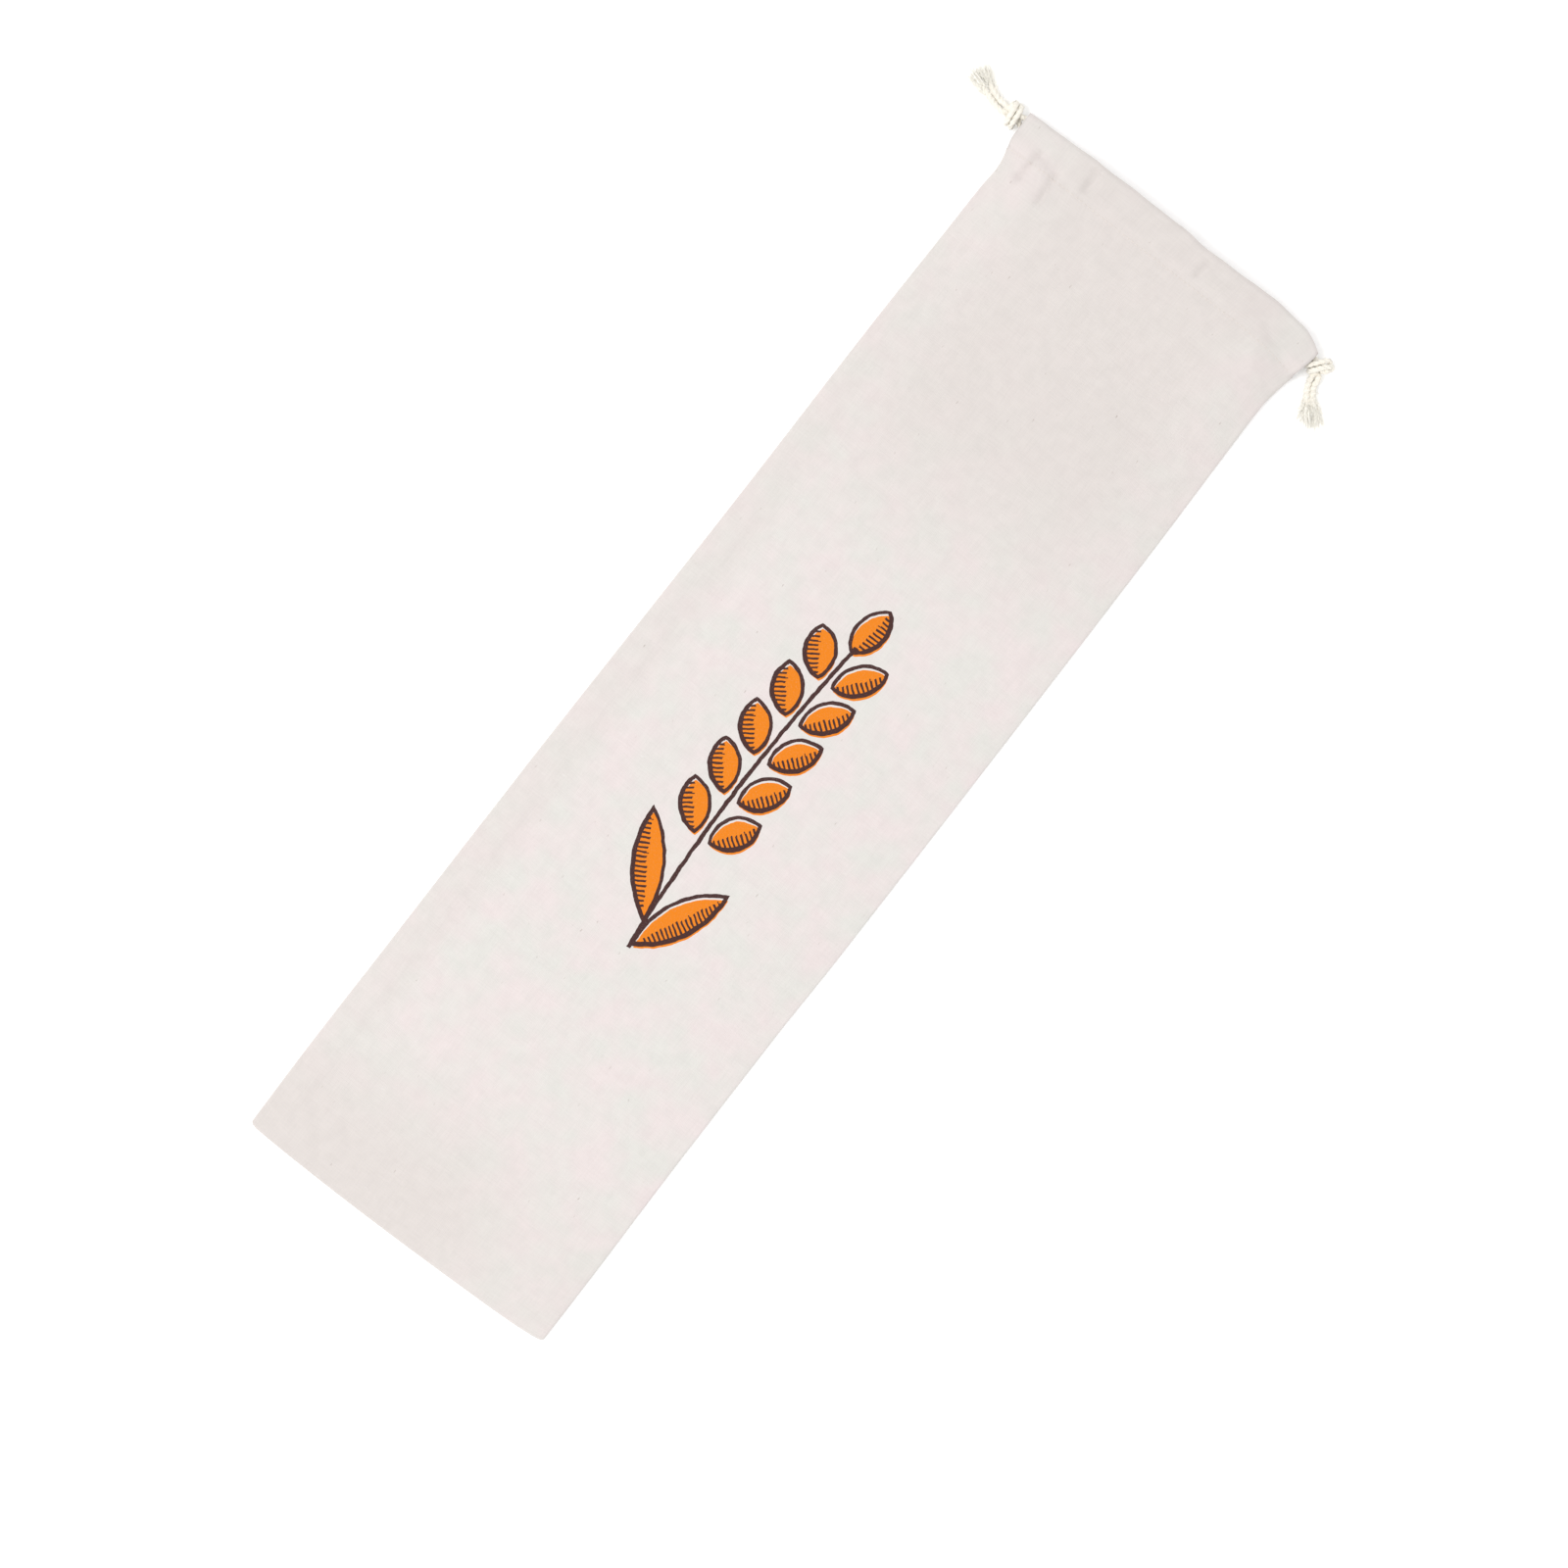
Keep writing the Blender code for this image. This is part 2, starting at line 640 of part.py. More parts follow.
def knot_core(name: str, knot: Vector, turn: float, material, home) -> bpy.types.Object:
    """Make a knot's body: a turned outline, wider across than it is high, with slanting wraps."""
    work = bmesh.new()
    ring = [work.verts.new((x * MM, 0, radius * MM)) for x, radius in KNOT_OUTLINE]
    edges = [work.edges.new(pair) for pair in zip(ring, ring[1:])]
    bmesh.ops.spin(
        work, geom=ring + edges, cent=(0, 0, 0), axis=(1, 0, 0), angle=2 * math.pi, steps=KNOT_STEPS
    )
    bmesh.ops.remove_doubles(work, verts=work.verts, dist=MERGE_WITHIN)
    for vert in work.verts:
        inside = 1 - abs(vert.co.x) / (KNOT_HALF_LENGTH * MM)
        vert.co.x += KNOT_SLANT * vert.co.y * inside
        vert.co.y *= KNOT_WIDEN
    bmesh.ops.recalc_face_normals(work, faces=work.faces)
    mesh = bpy.data.meshes.new(name)
    work.to_mesh(mesh)
    work.free()
    mesh.shade_smooth()
    place = Matrix.Translation((knot.x * MM, knot.y * MM, KNOT_HEIGHT * MM)) @ Matrix.Rotation(turn, 4, "Z")
    mesh.transform(place)
    return new_object(name, mesh, material, home)


def make_knot(name: str, knot: Vector, turn: float, tails, material, home, helpers) -> bpy.types.Object:
    """Make a knot with its two tails and their frayed ends, all one solid."""
    core = knot_core(name, knot, turn, material, home)
    added = bpy.data.collections.new(f"{name}_added")
    helpers.children.link(added)
    pieces = []
    for n, tail in enumerate(tails):
        route = [knot + Vector(point) for point in tail]
        points = smooth_points(route, CORD_STEP / 2)
        radii = [1.0] * len(points)
        pieces.append(tube(f"{name}_tail_{n}", points, radii, CORD_SIDES, material, helpers))
        end = points[-1]
        heading = math.atan2(end.y - points[-2].y, end.x - points[-2].x)
        for k, lock in enumerate(FRAY):
            pieces.append(frayed_lock(f"{name}_lock_{n}_{k}", end, heading, lock, material, helpers))
    for piece in pieces:
        solid = as_mesh(piece, added)
        solid.hide_render = True
        solid.display_type = "WIRE"
    joined = core.modifiers.new("Tails", "BOOLEAN")
    joined.operation = "UNION"
    joined.operand_type = "COLLECTION"
    joined.collection = added
    joined.use_self = True
    return core


def frayed_lock(name: str, end: Vector, heading: float, lock: Lock, material, home) -> bpy.types.Object:
    """Return one tapering four-sided lock of fibres that lies on the surface beyond a tail's end."""
    turn = heading + math.radians(lock.turn)
    aside = Vector((-math.sin(heading), math.cos(heading), 0)) * lock.shift
    back = Vector((math.cos(heading), math.sin(heading), 0)) * LOCK_ROOT_INSIDE
    out = Vector((math.cos(turn), math.sin(turn), 0))
    root = end + aside - back
    root.z = lock.thick + LOCK_ROOT_LIFT
    middle = end + aside + out * lock.length * 0.5
    middle.z = lock.thick * 0.9
    tip = end + aside + out * lock.length
    tip.z = lock.thick * 0.62
    share = lock.thick / (CORD_DIAMETER / 2)
    return tube(name, [root, middle, tip], [share, share * 0.85, share * 0.45], LOCK_SIDES, material, home)


def make_drawstring(name: str, route: list[Vector], material, home) -> bpy.types.Object:
    """Make the part of a cord that lies in the casings."""
    points = smooth_points(route, CORD_STEP)
    return tube(name, points, [1.0] * len(points), CORD_SIDES, material, home)


def main() -> None:
    """Clear the scene and make the bag."""
    for obj in list(bpy.data.objects):
        bpy.data.objects.remove(obj)
    home = bpy.data.collections.new("bread_bag")
    helpers = bpy.data.collections.new("helpers")
    for collection in (home, helpers):
        bpy.context.scene.collection.children.link(collection)
    cloth = make_material("linen_cotton", CLOTH_COLOUR, 0.95)
    cotton = make_material("cotton_cord", CORD_COLOUR, 0.9)
    make_bag_cloth(cloth, home)
    left = drawstring_route(-1, LEFT_KNOT, LEFT_KNOT_TURN, UPPER_LANE)
    right = drawstring_route(1, RIGHT_KNOT, RIGHT_KNOT_TURN, LOWER_LANE)
    make_drawstring("drawstring_left", left, cotton, home)
    make_drawstring("drawstring_right", right, cotton, home)
    make_knot("knot_left", LEFT_KNOT, LEFT_KNOT_TURN, LEFT_TAILS, cotton, home, helpers)
    make_knot("knot_right", RIGHT_KNOT, RIGHT_KNOT_TURN, RIGHT_TAILS, cotton, home, helpers)


if __name__ == "__main__":
    main()
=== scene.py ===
"""A linen bread bag, dressed around its fixed frame: woven cloth, twisted cotton cords, knots and sewing.

Sizes in the tables are millimetres and become metres in the meshes. +Y runs along the bag to its mouth, +Z
is up, and the origin lies on the surface under the middle of the cloth.
"""

import logging
import math
from dataclasses import dataclass
from enum import Enum
from typing import Any, NamedTuple, Sequence

import bmesh
import bpy
from mathutils import Matrix, Vector, noise


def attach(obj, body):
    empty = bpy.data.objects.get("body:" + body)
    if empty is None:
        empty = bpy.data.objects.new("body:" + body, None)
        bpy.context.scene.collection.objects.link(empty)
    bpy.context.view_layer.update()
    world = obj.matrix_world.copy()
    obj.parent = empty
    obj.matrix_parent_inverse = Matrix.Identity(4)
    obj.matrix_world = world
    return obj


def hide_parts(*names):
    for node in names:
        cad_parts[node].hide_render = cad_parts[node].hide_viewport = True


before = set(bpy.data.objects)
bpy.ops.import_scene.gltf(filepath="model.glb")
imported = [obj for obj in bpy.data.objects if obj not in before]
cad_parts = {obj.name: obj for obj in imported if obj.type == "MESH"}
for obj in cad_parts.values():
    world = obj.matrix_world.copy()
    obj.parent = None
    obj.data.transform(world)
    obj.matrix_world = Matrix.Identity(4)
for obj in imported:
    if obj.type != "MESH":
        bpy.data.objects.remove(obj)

LOG = logging.getLogger("bread_bag")
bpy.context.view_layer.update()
MM = 0.001
MATH = "ShaderNodeMath"
VECTOR_MATH = "ShaderNodeVectorMath"
MIX = "ShaderNodeMix"
NOISE = "ShaderNodeTexNoise"


class Layer(Enum):
    """One of the two panels of the flat bag."""

    FRONT = 1
    BACK = -1


class End(Enum):
    """The end of the mouth at which a cord is knotted."""

    LEFT = -1
    RIGHT = 1


class SideRow(NamedTuple):
    """Where the left and right edges lie at a place along the bag."""

    y: float
    left: float
    right: float


class EdgePoint(NamedTuple):
    """How far up an edge or a seam lies at a place across the bag."""

    x: float
    y: float


class CrownRow(NamedTuple):
    """How much higher than its edges the front panel's middle stands."""

    y: float
    height: float


class Trough(NamedTuple):
    """A soft crease in the front from its head to its foot. A negative depth is a ridge."""

    head_x: float
    head_y: float
    foot_x: float
    foot_y: float
    width: float
    depth: float


class Swell(NamedTuple):
    """A broad rise or, with a negative height, hollow of the front panel."""

    x: float
    y: float
    reach_x: float
    reach_y: float
    height: float


class Ramp(NamedTuple):
    """A smooth step of a share: low up to one place on the cloth, and high from another."""

    start: float
    end: float
    low: float
    high: float


SIDES = (
    SideRow(-353.0, -99.6, 99.4),
    SideRow(-300.0, -100.4, 99.3),
    SideRow(-240.0, -100.3, 98.6),
    SideRow(-165.0, -100.3, 98.4),
    SideRow(-130.0, -100.2, 98.5),
    SideRow(-85.0, -100.1, 99.3),
    SideRow(76.0, -98.6, 99.4),
    SideRow(200.0, -98.6, 98.8),
    SideRow(264.0, -97.8, 97.9),
    SideRow(301.0, -97.4, 97.7),
    SideRow(313.0, -96.7, 98.9),
    SideRow(322.0, -97.7, 100.2),
    SideRow(331.0, -100.2, 102.0),
    SideRow(341.0, -100.5, 104.0),
    SideRow(352.0, -100.6, 104.4),
)
BOTTOM_EDGE = (
    EdgePoint(-100.0, -352.5),
    EdgePoint(-95.0, -353.7),
    EdgePoint(-47.0, -354.6),
    EdgePoint(0.0, -354.3),
    EdgePoint(55.0, -353.0),
    EdgePoint(80.0, -352.0),
    EdgePoint(94.0, -350.7),
    EdgePoint(100.0, -349.5),
)
TOP_EDGE = (
    EdgePoint(-101.0, 348.0),
    EdgePoint(-90.0, 348.5),
    EdgePoint(-72.0, 348.8),
    EdgePoint(-50.0, 348.9),
    EdgePoint(0.0, 348.8),
    EdgePoint(25.0, 347.7),
    EdgePoint(50.0, 348.2),
    EdgePoint(66.0, 348.9),
    EdgePoint(78.0, 348.3),
    EdgePoint(90.0, 347.1),
    EdgePoint(98.0, 344.2),
    EdgePoint(105.0, 340.0),
)
STITCH_LINE = (
    EdgePoint(-100.0, 324.6),
    EdgePoint(-60.0, 324.7),
    EdgePoint(0.0, 324.3),
    EdgePoint(60.0, 324.2),
    EdgePoint(85.0, 322.9),
    EdgePoint(103.0, 320.6),
)
CROWN = (
    CrownRow(-353.0, 0.0),
    CrownRow(-335.0, 1.1),
    CrownRow(-250.0, 2.3),
    CrownRow(0.0, 2.6),
    CrownRow(150.0, 3.0),
    CrownRow(230.0, 4.1),
    CrownRow(290.0, 7.0),
    CrownRow(328.0, 9.3),
)
GATHERS = (
    Trough(-82.0, 332.0, -84.0, 315.0, 2.7, 1.3),
    Trough(-68.0, 327.0, -67.0, 311.0, 2.5, 1.1),
    Trough(-52.0, 344.0, -51.0, 331.0, 2.4, 1.1),
    Trough(-36.0, 341.0, -36.0, 331.0, 2.2, 0.6),
    Trough(26.0, 342.0, 26.0, 331.0, 2.4, 0.9),
    Trough(70.0, 331.0, 79.0, 314.0, 3.6, -0.45),
)
SWELLS = (
    Swell(56.0, 262.0, 34.0, 40.0, -1.6),
    Swell(-30.0, 268.0, 40.0, 26.0, 0.8),
    Swell(-46.0, 60.0, 30.0, 90.0, 0.6),
    Swell(48.0, -60.0, 30.0, 80.0, 0.5),
    Swell(-20.0, -270.0, 46.0, 44.0, 0.7),
)


def ease(share: float) -> float:
    """Return 0 below 0, 1 above 1 and a smooth step between them."""
    share = min(1.0, max(0.0, share))
    return share * share * (3 - 2 * share)


def read(table: Sequence[Any], column: str, at: float) -> float:
    """Read a column of a table at a value of its first column, on a smooth curve through the rows.

    Args:
        table: Rows in rising order of their first value.
        column: The name of the column to read.
        at: Where to read, as a value of the first column.

    Returns:
        The curve's value there, or the end row's value past an end.
    """
    places = [row[0] for row in table]
    values = [getattr(row, column) for row in table]
    if at <= places[0]:
        return values[0]
    if at >= places[-1]:
        return values[-1]
    i = max(k for k in range(len(places) - 1) if places[k] <= at)

    def slope(k: int) -> float:
        """Return the curve's slope at a row."""
        low, high = max(0, k - 1), min(len(places) - 1, k + 1)
        return (values[high] - values[low]) / (places[high] - places[low])

    span = places[i + 1] - places[i]
    t = (at - places[i]) / span
    h00, h10 = (1 + 2 * t) * (1 - t) ** 2, t * (1 - t) ** 2
    h01, h11 = t * t * (3 - 2 * t), t * t * (t - 1)
    return h00 * values[i] + h10 * span * slope(i) + h01 * values[i + 1] + h11 * span * slope(i + 1)


def linear(hex_colour: str) -> tuple[float, float, float, float]:
    """Turn an sRGB hex colour into the linear one that a shader takes."""
    shares = [int(hex_colour[i : i + 2], 16) / 255 for i in (1, 3, 5)]
    low = [share / 12.92 for share in shares]
    high = [((share + 0.055) / 1.055) ** 2.4 for share in shares]
    return (*(h if share > 0.04045 else l for share, l, h in zip(shares, low, high)), 1.0)


def add_node(tree: bpy.types.NodeTree, kind: str, inputs: Any = (), **settings: Any) -> bpy.types.Node:
    """Add a node with its settings and links.

    Args:
        tree: The tree that gets the node.
        kind: The node's type name.
        inputs: Values, sockets or nodes for its inputs, in order or by name. None leaves an input alone.
        **settings: The node's own options.

    Returns:
        The new node.
    """
    made = tree.nodes.new(kind)
    for name, value in settings.items():
        setattr(made, name, value)
    for key, value in inputs.items() if isinstance(inputs, dict) else enumerate(inputs):
        if isinstance(value, bpy.types.Node):
            value = next(output for output in value.outputs if output.enabled)
        if isinstance(value, bpy.types.NodeSocket):
            tree.links.new(value, made.inputs[key])
        elif value is not None:
            made.inputs[key].default_value = value
    return made


def mesh_from(work: bmesh.types.BMesh, name: str) -> bpy.types.Mesh:
    """Return a smooth mesh of what a bmesh holds, and free the bmesh."""
    mesh = bpy.data.meshes.new(name)
    work.to_mesh(mesh)
    work.free()
    mesh.shade_smooth()
    return mesh


def place(name: str, mesh: bpy.types.Mesh, *materials: bpy.types.Material) -> bpy.types.Object:
    """Return a new object of a mesh with its materials, at the origin."""
    made = bpy.data.objects.new(name, mesh)
    for material in materials:
        mesh.materials.append(material)
    bpy.context.scene.collection.objects.link(made)
    return made


def applied(obj: bpy.types.Object) -> bpy.types.Object:
    """Turn an object's evaluated shape into its plain mesh, and take its modifiers off."""
    bpy.context.view_layer.update()
    evaluated = obj.evaluated_get(bpy.context.evaluated_depsgraph_get())
    mesh = bpy.data.meshes.new_from_object(evaluated)
    before = obj.data
    obj.modifiers.clear()
    obj.data = mesh
    mesh.name = obj.name
    bpy.data.meshes.remove(before)
    return obj


def grown(tree: bpy.types.NodeTree, base: bpy.types.Mesh, values: dict[str, Any]) -> bpy.types.Mesh:
    """Run a node tree on a mesh and return what it makes as a plain mesh.

    Args:
        tree: The node tree.
        base: The mesh that its first input takes.
        values: The other inputs' values by name.

    Returns:
        The plain mesh.
    """
    obj = place(base.name, base)
    modifier = obj.modifiers.new("Grown", "NODES")
    modifier.node_group = tree
    sockets = {item.name: item.identifier for item in tree.interface.items_tree if item.in_out == "INPUT"}
    for name, value in values.items():
        modifier[sockets[name]] = value
    mesh = applied(obj).data
    bpy.data.objects.remove(obj)
    return mesh


def group(name: str, inputs: dict[str, str]) -> tuple[bpy.types.NodeTree, Any]:
    """Start a geometry node tree with one geometry input and named others.

    Args:
        name: The tree's name.
        inputs: The kind of each input by its name, after the word NodeSocket.

    Returns:
        The tree, and the sockets that give its inputs.
    """
    tree = bpy.data.node_groups.new(name, "GeometryNodeTree")
    tree.interface.new_socket("Line", in_out="INPUT", socket_type="NodeSocketGeometry")
    for key, kind in inputs.items():
        tree.interface.new_socket(key, in_out="INPUT", socket_type=f"NodeSocket{kind}")
    tree.interface.new_socket("Made", in_out="OUTPUT", socket_type="NodeSocketGeometry")
    return tree, add_node(tree, "NodeGroupInput").outputs


def joined(name: str, meshes: Sequence[bpy.types.Mesh]) -> bpy.types.Mesh:
    """Return one smooth mesh of several, with an empty map for the yarn's fibres."""
    work = bmesh.new()
    for mesh in meshes:
        work.from_mesh(mesh)
    made = mesh_from(work, name)
    made.uv_layers.new(name="weave")
    return made


def report(obj: bpy.types.Object) -> None:
    """Log a piece's name and its count of triangles."""
    obj.data.calc_loop_triangles()
    LOG.info("%s: %d triangles", obj.name, len(obj.data.loop_triangles))


@dataclass(frozen=True)
class LinenCotton:
    """Plain-woven natural linen and cotton, washed and pressed, with a two-colour print on its front.

    The flax gives the eye a pale pinkish grey with uneven thick and thin threads, brown flecks of husk and a
    dull surface with a soft sheen of fibres. A thread and its gap are 0.65 mm wide, over and under by turns.
    """

    name: str = "plain_woven_linen_cotton"
    base: str = "#DED7D4"
    rosy: str = "#E1D5D4"
    greenish: str = "#D8D8D2"
    # Painted shade: the colour that the cloth is darkened to where it stands in for shade.
    shaded: str = "#D7D0CC"
    husk: str = "#7C6855"
    bare_fibre: str = "#F2EEEC"
    thread_pitch: float = 0.65
    slub_wide: float = 0.9
    slub_long: float = 15.0
    blotch: float = 24.0
    cloud: float = 8.0
    husk_cell: tuple[float, float] = (5.0, 14.0)
    husk_size: float = 0.085
    bare_cell: tuple[float, float] = (26.0, 9.0)
    bare_size: float = 0.075
    husk_share: float = 0.42
    bare_share: float = 0.22
    fleck_bend: float = 1.3
    fleck_core: float = 0.35
    fleck_rarity: float = 2.2
    # Where shade is painted: toward the mouth, less near the sides, and along the bottom's left part.
    upper_part: Ramp = Ramp(80.0, 215.0, 0.0, 0.9)
    off_middle: Ramp = Ramp(50.0, 88.0, 1.0, 0.45)
    bottom_part: Ramp = Ramp(-240.0, -335.0, 0.0, 1.0)
    toward_left: Ramp = Ramp(75.0, 0.0, 0.35, 1.0)
    # Painted shade on the strip left of the seam allowance, standing in for the shade at the allowance's
    # edge.
    seam_allowance: Ramp = Ramp(-70.0, -84.0, 0.0, 0.45)
    thread_stray: float = 1.5
    slub_weight: float = 1.2
    weave_depth: float = 0.12
    weave_strength: float = 0.55
    print_orange: str = "#E78113"
    print_brown: str = "#442927"

    def build(self) -> bpy.types.Material:
        """Return the cloth's material, which reads the piece's own map in metres."""
        material = bpy.data.materials.new(self.name)
        material.use_nodes = True
        tree = material.node_tree
        shader = tree.nodes["Principled BSDF"]
        map_metres = add_node(tree, "ShaderNodeUVMap", uv_map="weave")
        map_mm = add_node(tree, VECTOR_MATH, {0: map_metres, "Scale": 1 / MM}, operation="SCALE")
        colour = self.cloth_colour(tree, map_mm)
        printed = SprigPrint(self.print_orange, self.print_brown)
        colour = printed.over(tree, map_mm, colour)
        tree.links.new(colour.outputs[2], shader.inputs["Base Color"])
        tree.links.new(self.relief(tree, map_mm).outputs[0], shader.inputs["Normal"])
        shader.inputs["Roughness"].default_value = 0.88
        shader.inputs["Specular IOR Level"].default_value = 0.28
        shader.inputs["Sheen Weight"].default_value = 0.12
        shader.inputs["Sheen Roughness"].default_value = 0.5
        return material

    def slubs(self, tree: bpy.types.NodeTree, map_mm: bpy.types.Node, turned: bool) -> bpy.types.Node:
        """Return a noise drawn out along the threads: along the bag, or across it where turned."""
        wide, long = 1 / self.slub_wide, 1 / self.slub_long
        scale = (long, wide, 1.0) if turned else (wide, long, 1.0)
        stretched = add_node(tree, "ShaderNodeMapping", {"Vector": map_mm, "Scale": scale})
        return add_node(tree, NOISE, {"Vector": stretched, "Scale": 1.0, "Detail": 3.0, "Roughness": 0.6})

    def cloth_colour(self, tree: bpy.types.NodeTree, map_mm: bpy.types.Node) -> bpy.types.Node:
        """Return the undyed cloth's colour: soft blotches, painted shade in parts, uneven threads and
        flecks.
        """
        blotches = add_node(tree, NOISE, {"Vector": map_mm, "Scale": 1 / self.blotch, "Detail": 2.0})
        tint = add_node(tree, "ShaderNodeMapRange", {"Value": blotches, "From Min": 0.35, "From Max": 0.65})
        colour = add_node(
            tree, MIX, {0: tint, 6: linear(self.greenish), 7: linear(self.rosy)}, data_type="RGBA"
        )
        colour = add_node(
            tree, MIX, {0: 0.35, 6: colour.outputs[2], 7: linear(self.base)}, data_type="RGBA"
        )
        # Painted shade: the shaded colour mixed in toward the mouth, at the bottom left and on the left
        # strip.
        darker = self.painted_shade_share(tree, map_mm)
        colour = add_node(
            tree, MIX, {0: darker, 6: colour.outputs[2], 7: linear(self.shaded)}, data_type="RGBA"
        )
        warp, weft = self.slubs(tree, map_mm, False), self.slubs(tree, map_mm, True)
        threads = add_node(tree, MATH, (warp, weft), operation="ADD")
        clouds = add_node(tree, NOISE, {"Vector": map_mm, "Scale": 1 / self.cloud, "Detail": 4.0})
        clouds = add_node(tree, MATH, (clouds, 0.5), operation="SUBTRACT")
        threads = add_node(tree, MATH, (clouds, 1.1, threads), operation="MULTIPLY_ADD")
        uneven = add_node(
            tree,
            "ShaderNodeMapRange",
            {"Value": threads, "From Min": 0.7, "From Max": 1.3, "To Min": 0.97, "To Max": 1.03},
        )
        colour = add_node(
            tree, VECTOR_MATH, {0: colour.outputs[2], "Scale": uneven.outputs[0]}, operation="SCALE"
        )
        husks = self.flecks(tree, map_mm, self.husk_cell, self.husk_size, self.husk_share)
        colour = add_node(tree, MIX, {0: husks, 6: colour, 7: linear(self.husk)}, data_type="RGBA")
        fibres = self.flecks(tree, map_mm, self.bare_cell, self.bare_size, self.bare_share)
        return add_node(
            tree, MIX, {0: fibres, 6: colour.outputs[2], 7: linear(self.bare_fibre)}, data_type="RGBA"
        )

    def painted_shade_share(self, tree: bpy.types.NodeTree, map_mm: bpy.types.Node) -> bpy.types.Node:
        """Return the share of painted shade: toward the mouth, at the bottom left and left of the left seam.
        """
        split = add_node(tree, "ShaderNodeSeparateXYZ", (map_mm,))
        across, up = split.outputs["X"], split.outputs["Y"]
        off_axis = add_node(tree, MATH, (across,), operation="ABSOLUTE")
        shares = []
        for place_on_map, ramp in (
            (up, self.upper_part),
            (off_axis, self.off_middle),
            (up, self.bottom_part),
            (across, self.toward_left),
            (across, self.seam_allowance),
        ):
            limits = dict(zip(("From Min", "From Max", "To Min", "To Max"), ramp))
            inputs = {"Value": place_on_map, **limits}
            shares.append(add_node(tree, "ShaderNodeMapRange", inputs, interpolation_type="SMOOTHSTEP"))
        # The last share is painted shade on the strip left of the seam allowance.
        upper, inner, bottom, to_left, left_strip_shade = shares
        darker = add_node(tree, MATH, (upper, inner), operation="MULTIPLY")
        darker = add_node(tree, MATH, (bottom, to_left, darker), operation="MULTIPLY_ADD")
        return add_node(tree, MATH, (darker, left_strip_shade), operation="MAXIMUM")

    def flecks(
        self,
        tree: bpy.types.NodeTree,
        map_mm: bpy.types.Node,
        cell: tuple[float, float],
        size: float,
        most: float,
    ) -> bpy.types.Node:
        """Return the share of another fibre's colour in scattered flecks.

        Args:
            tree: The material's tree.
            map_mm: The cloth's map in millimetres.
            cell: The room that each fleck has across and along the bag.
            size: The fleck's reach as a share of that room.
            most: The share of its colour in the strongest fleck.

        Returns:
            The node that gives the share.
        """
        bent = add_node(tree, NOISE, {"Vector": map_mm, "Scale": 0.7, "Detail": 1.0})
        reach = (self.fleck_bend, self.fleck_bend, 0.0)
        bent = add_node(tree, VECTOR_MATH, (bent.outputs["Color"], reach, map_mm), operation="MULTIPLY_ADD")
        bent = add_node(tree, VECTOR_MATH, (bent, (1 / cell[0], 1 / cell[1], 1.0)), operation="MULTIPLY")
        cells = add_node(tree, "ShaderNodeTexVoronoi", {"Vector": bent, "Scale": 1.0, "Randomness": 1.0})
        edge = {"From Min": size, "From Max": self.fleck_core * size, "To Max": most}
        spot = add_node(tree, "ShaderNodeMapRange", {"Value": cells.outputs["Distance"], **edge})
        own = add_node(tree, "ShaderNodeSeparateColor", (cells.outputs["Color"],))
        own = add_node(tree, MATH, (own.outputs[0], self.fleck_rarity), operation="POWER")
        return add_node(tree, MATH, (spot, own), operation="MULTIPLY")

    def relief(self, tree: bpy.types.NodeTree, map_mm: bpy.types.Node) -> bpy.types.Node:
        """Return the normal of crossing threads, thick and thin, with a fine fuzz."""
        wander = add_node(tree, NOISE, {"Vector": map_mm, "Scale": 0.12, "Detail": 3.0})
        reach = (self.thread_stray, self.thread_stray, 0.0)
        strayed = add_node(
            tree, VECTOR_MATH, (wander.outputs["Color"], reach, map_mm), operation="MULTIPLY_ADD"
        )
        half_turn = math.pi / self.thread_pitch
        turns = add_node(tree, VECTOR_MATH, {0: strayed, "Scale": half_turn}, operation="SCALE")
        split = add_node(tree, "ShaderNodeSeparateXYZ", (turns,))
        ridges = [add_node(tree, MATH, (split.outputs[axis],), operation="COSINE") for axis in ("X", "Y")]
        crossing = add_node(tree, MATH, tuple(ridges), operation="MULTIPLY")
        threads = []
        for ridge, over in zip(ridges, (0.5, -0.5)):
            rounded = add_node(tree, MATH, (ridge, ridge), operation="MULTIPLY")
            on_top = add_node(tree, MATH, (crossing, over, 0.5), operation="MULTIPLY_ADD")
            threads.append(add_node(tree, MATH, (rounded, on_top), operation="MULTIPLY"))
        weave = add_node(tree, MATH, tuple(threads), operation="MAXIMUM")
        slubs = add_node(
            tree, MATH, (self.slubs(tree, map_mm, False), self.slubs(tree, map_mm, True)), operation="ADD"
        )
        height = add_node(tree, MATH, (slubs, self.slub_weight, weave), operation="MULTIPLY_ADD")
        return add_node(
            tree,
            "ShaderNodeBump",
            {"Strength": self.weave_strength, "Distance": self.weave_depth * MM, "Height": height},
        )


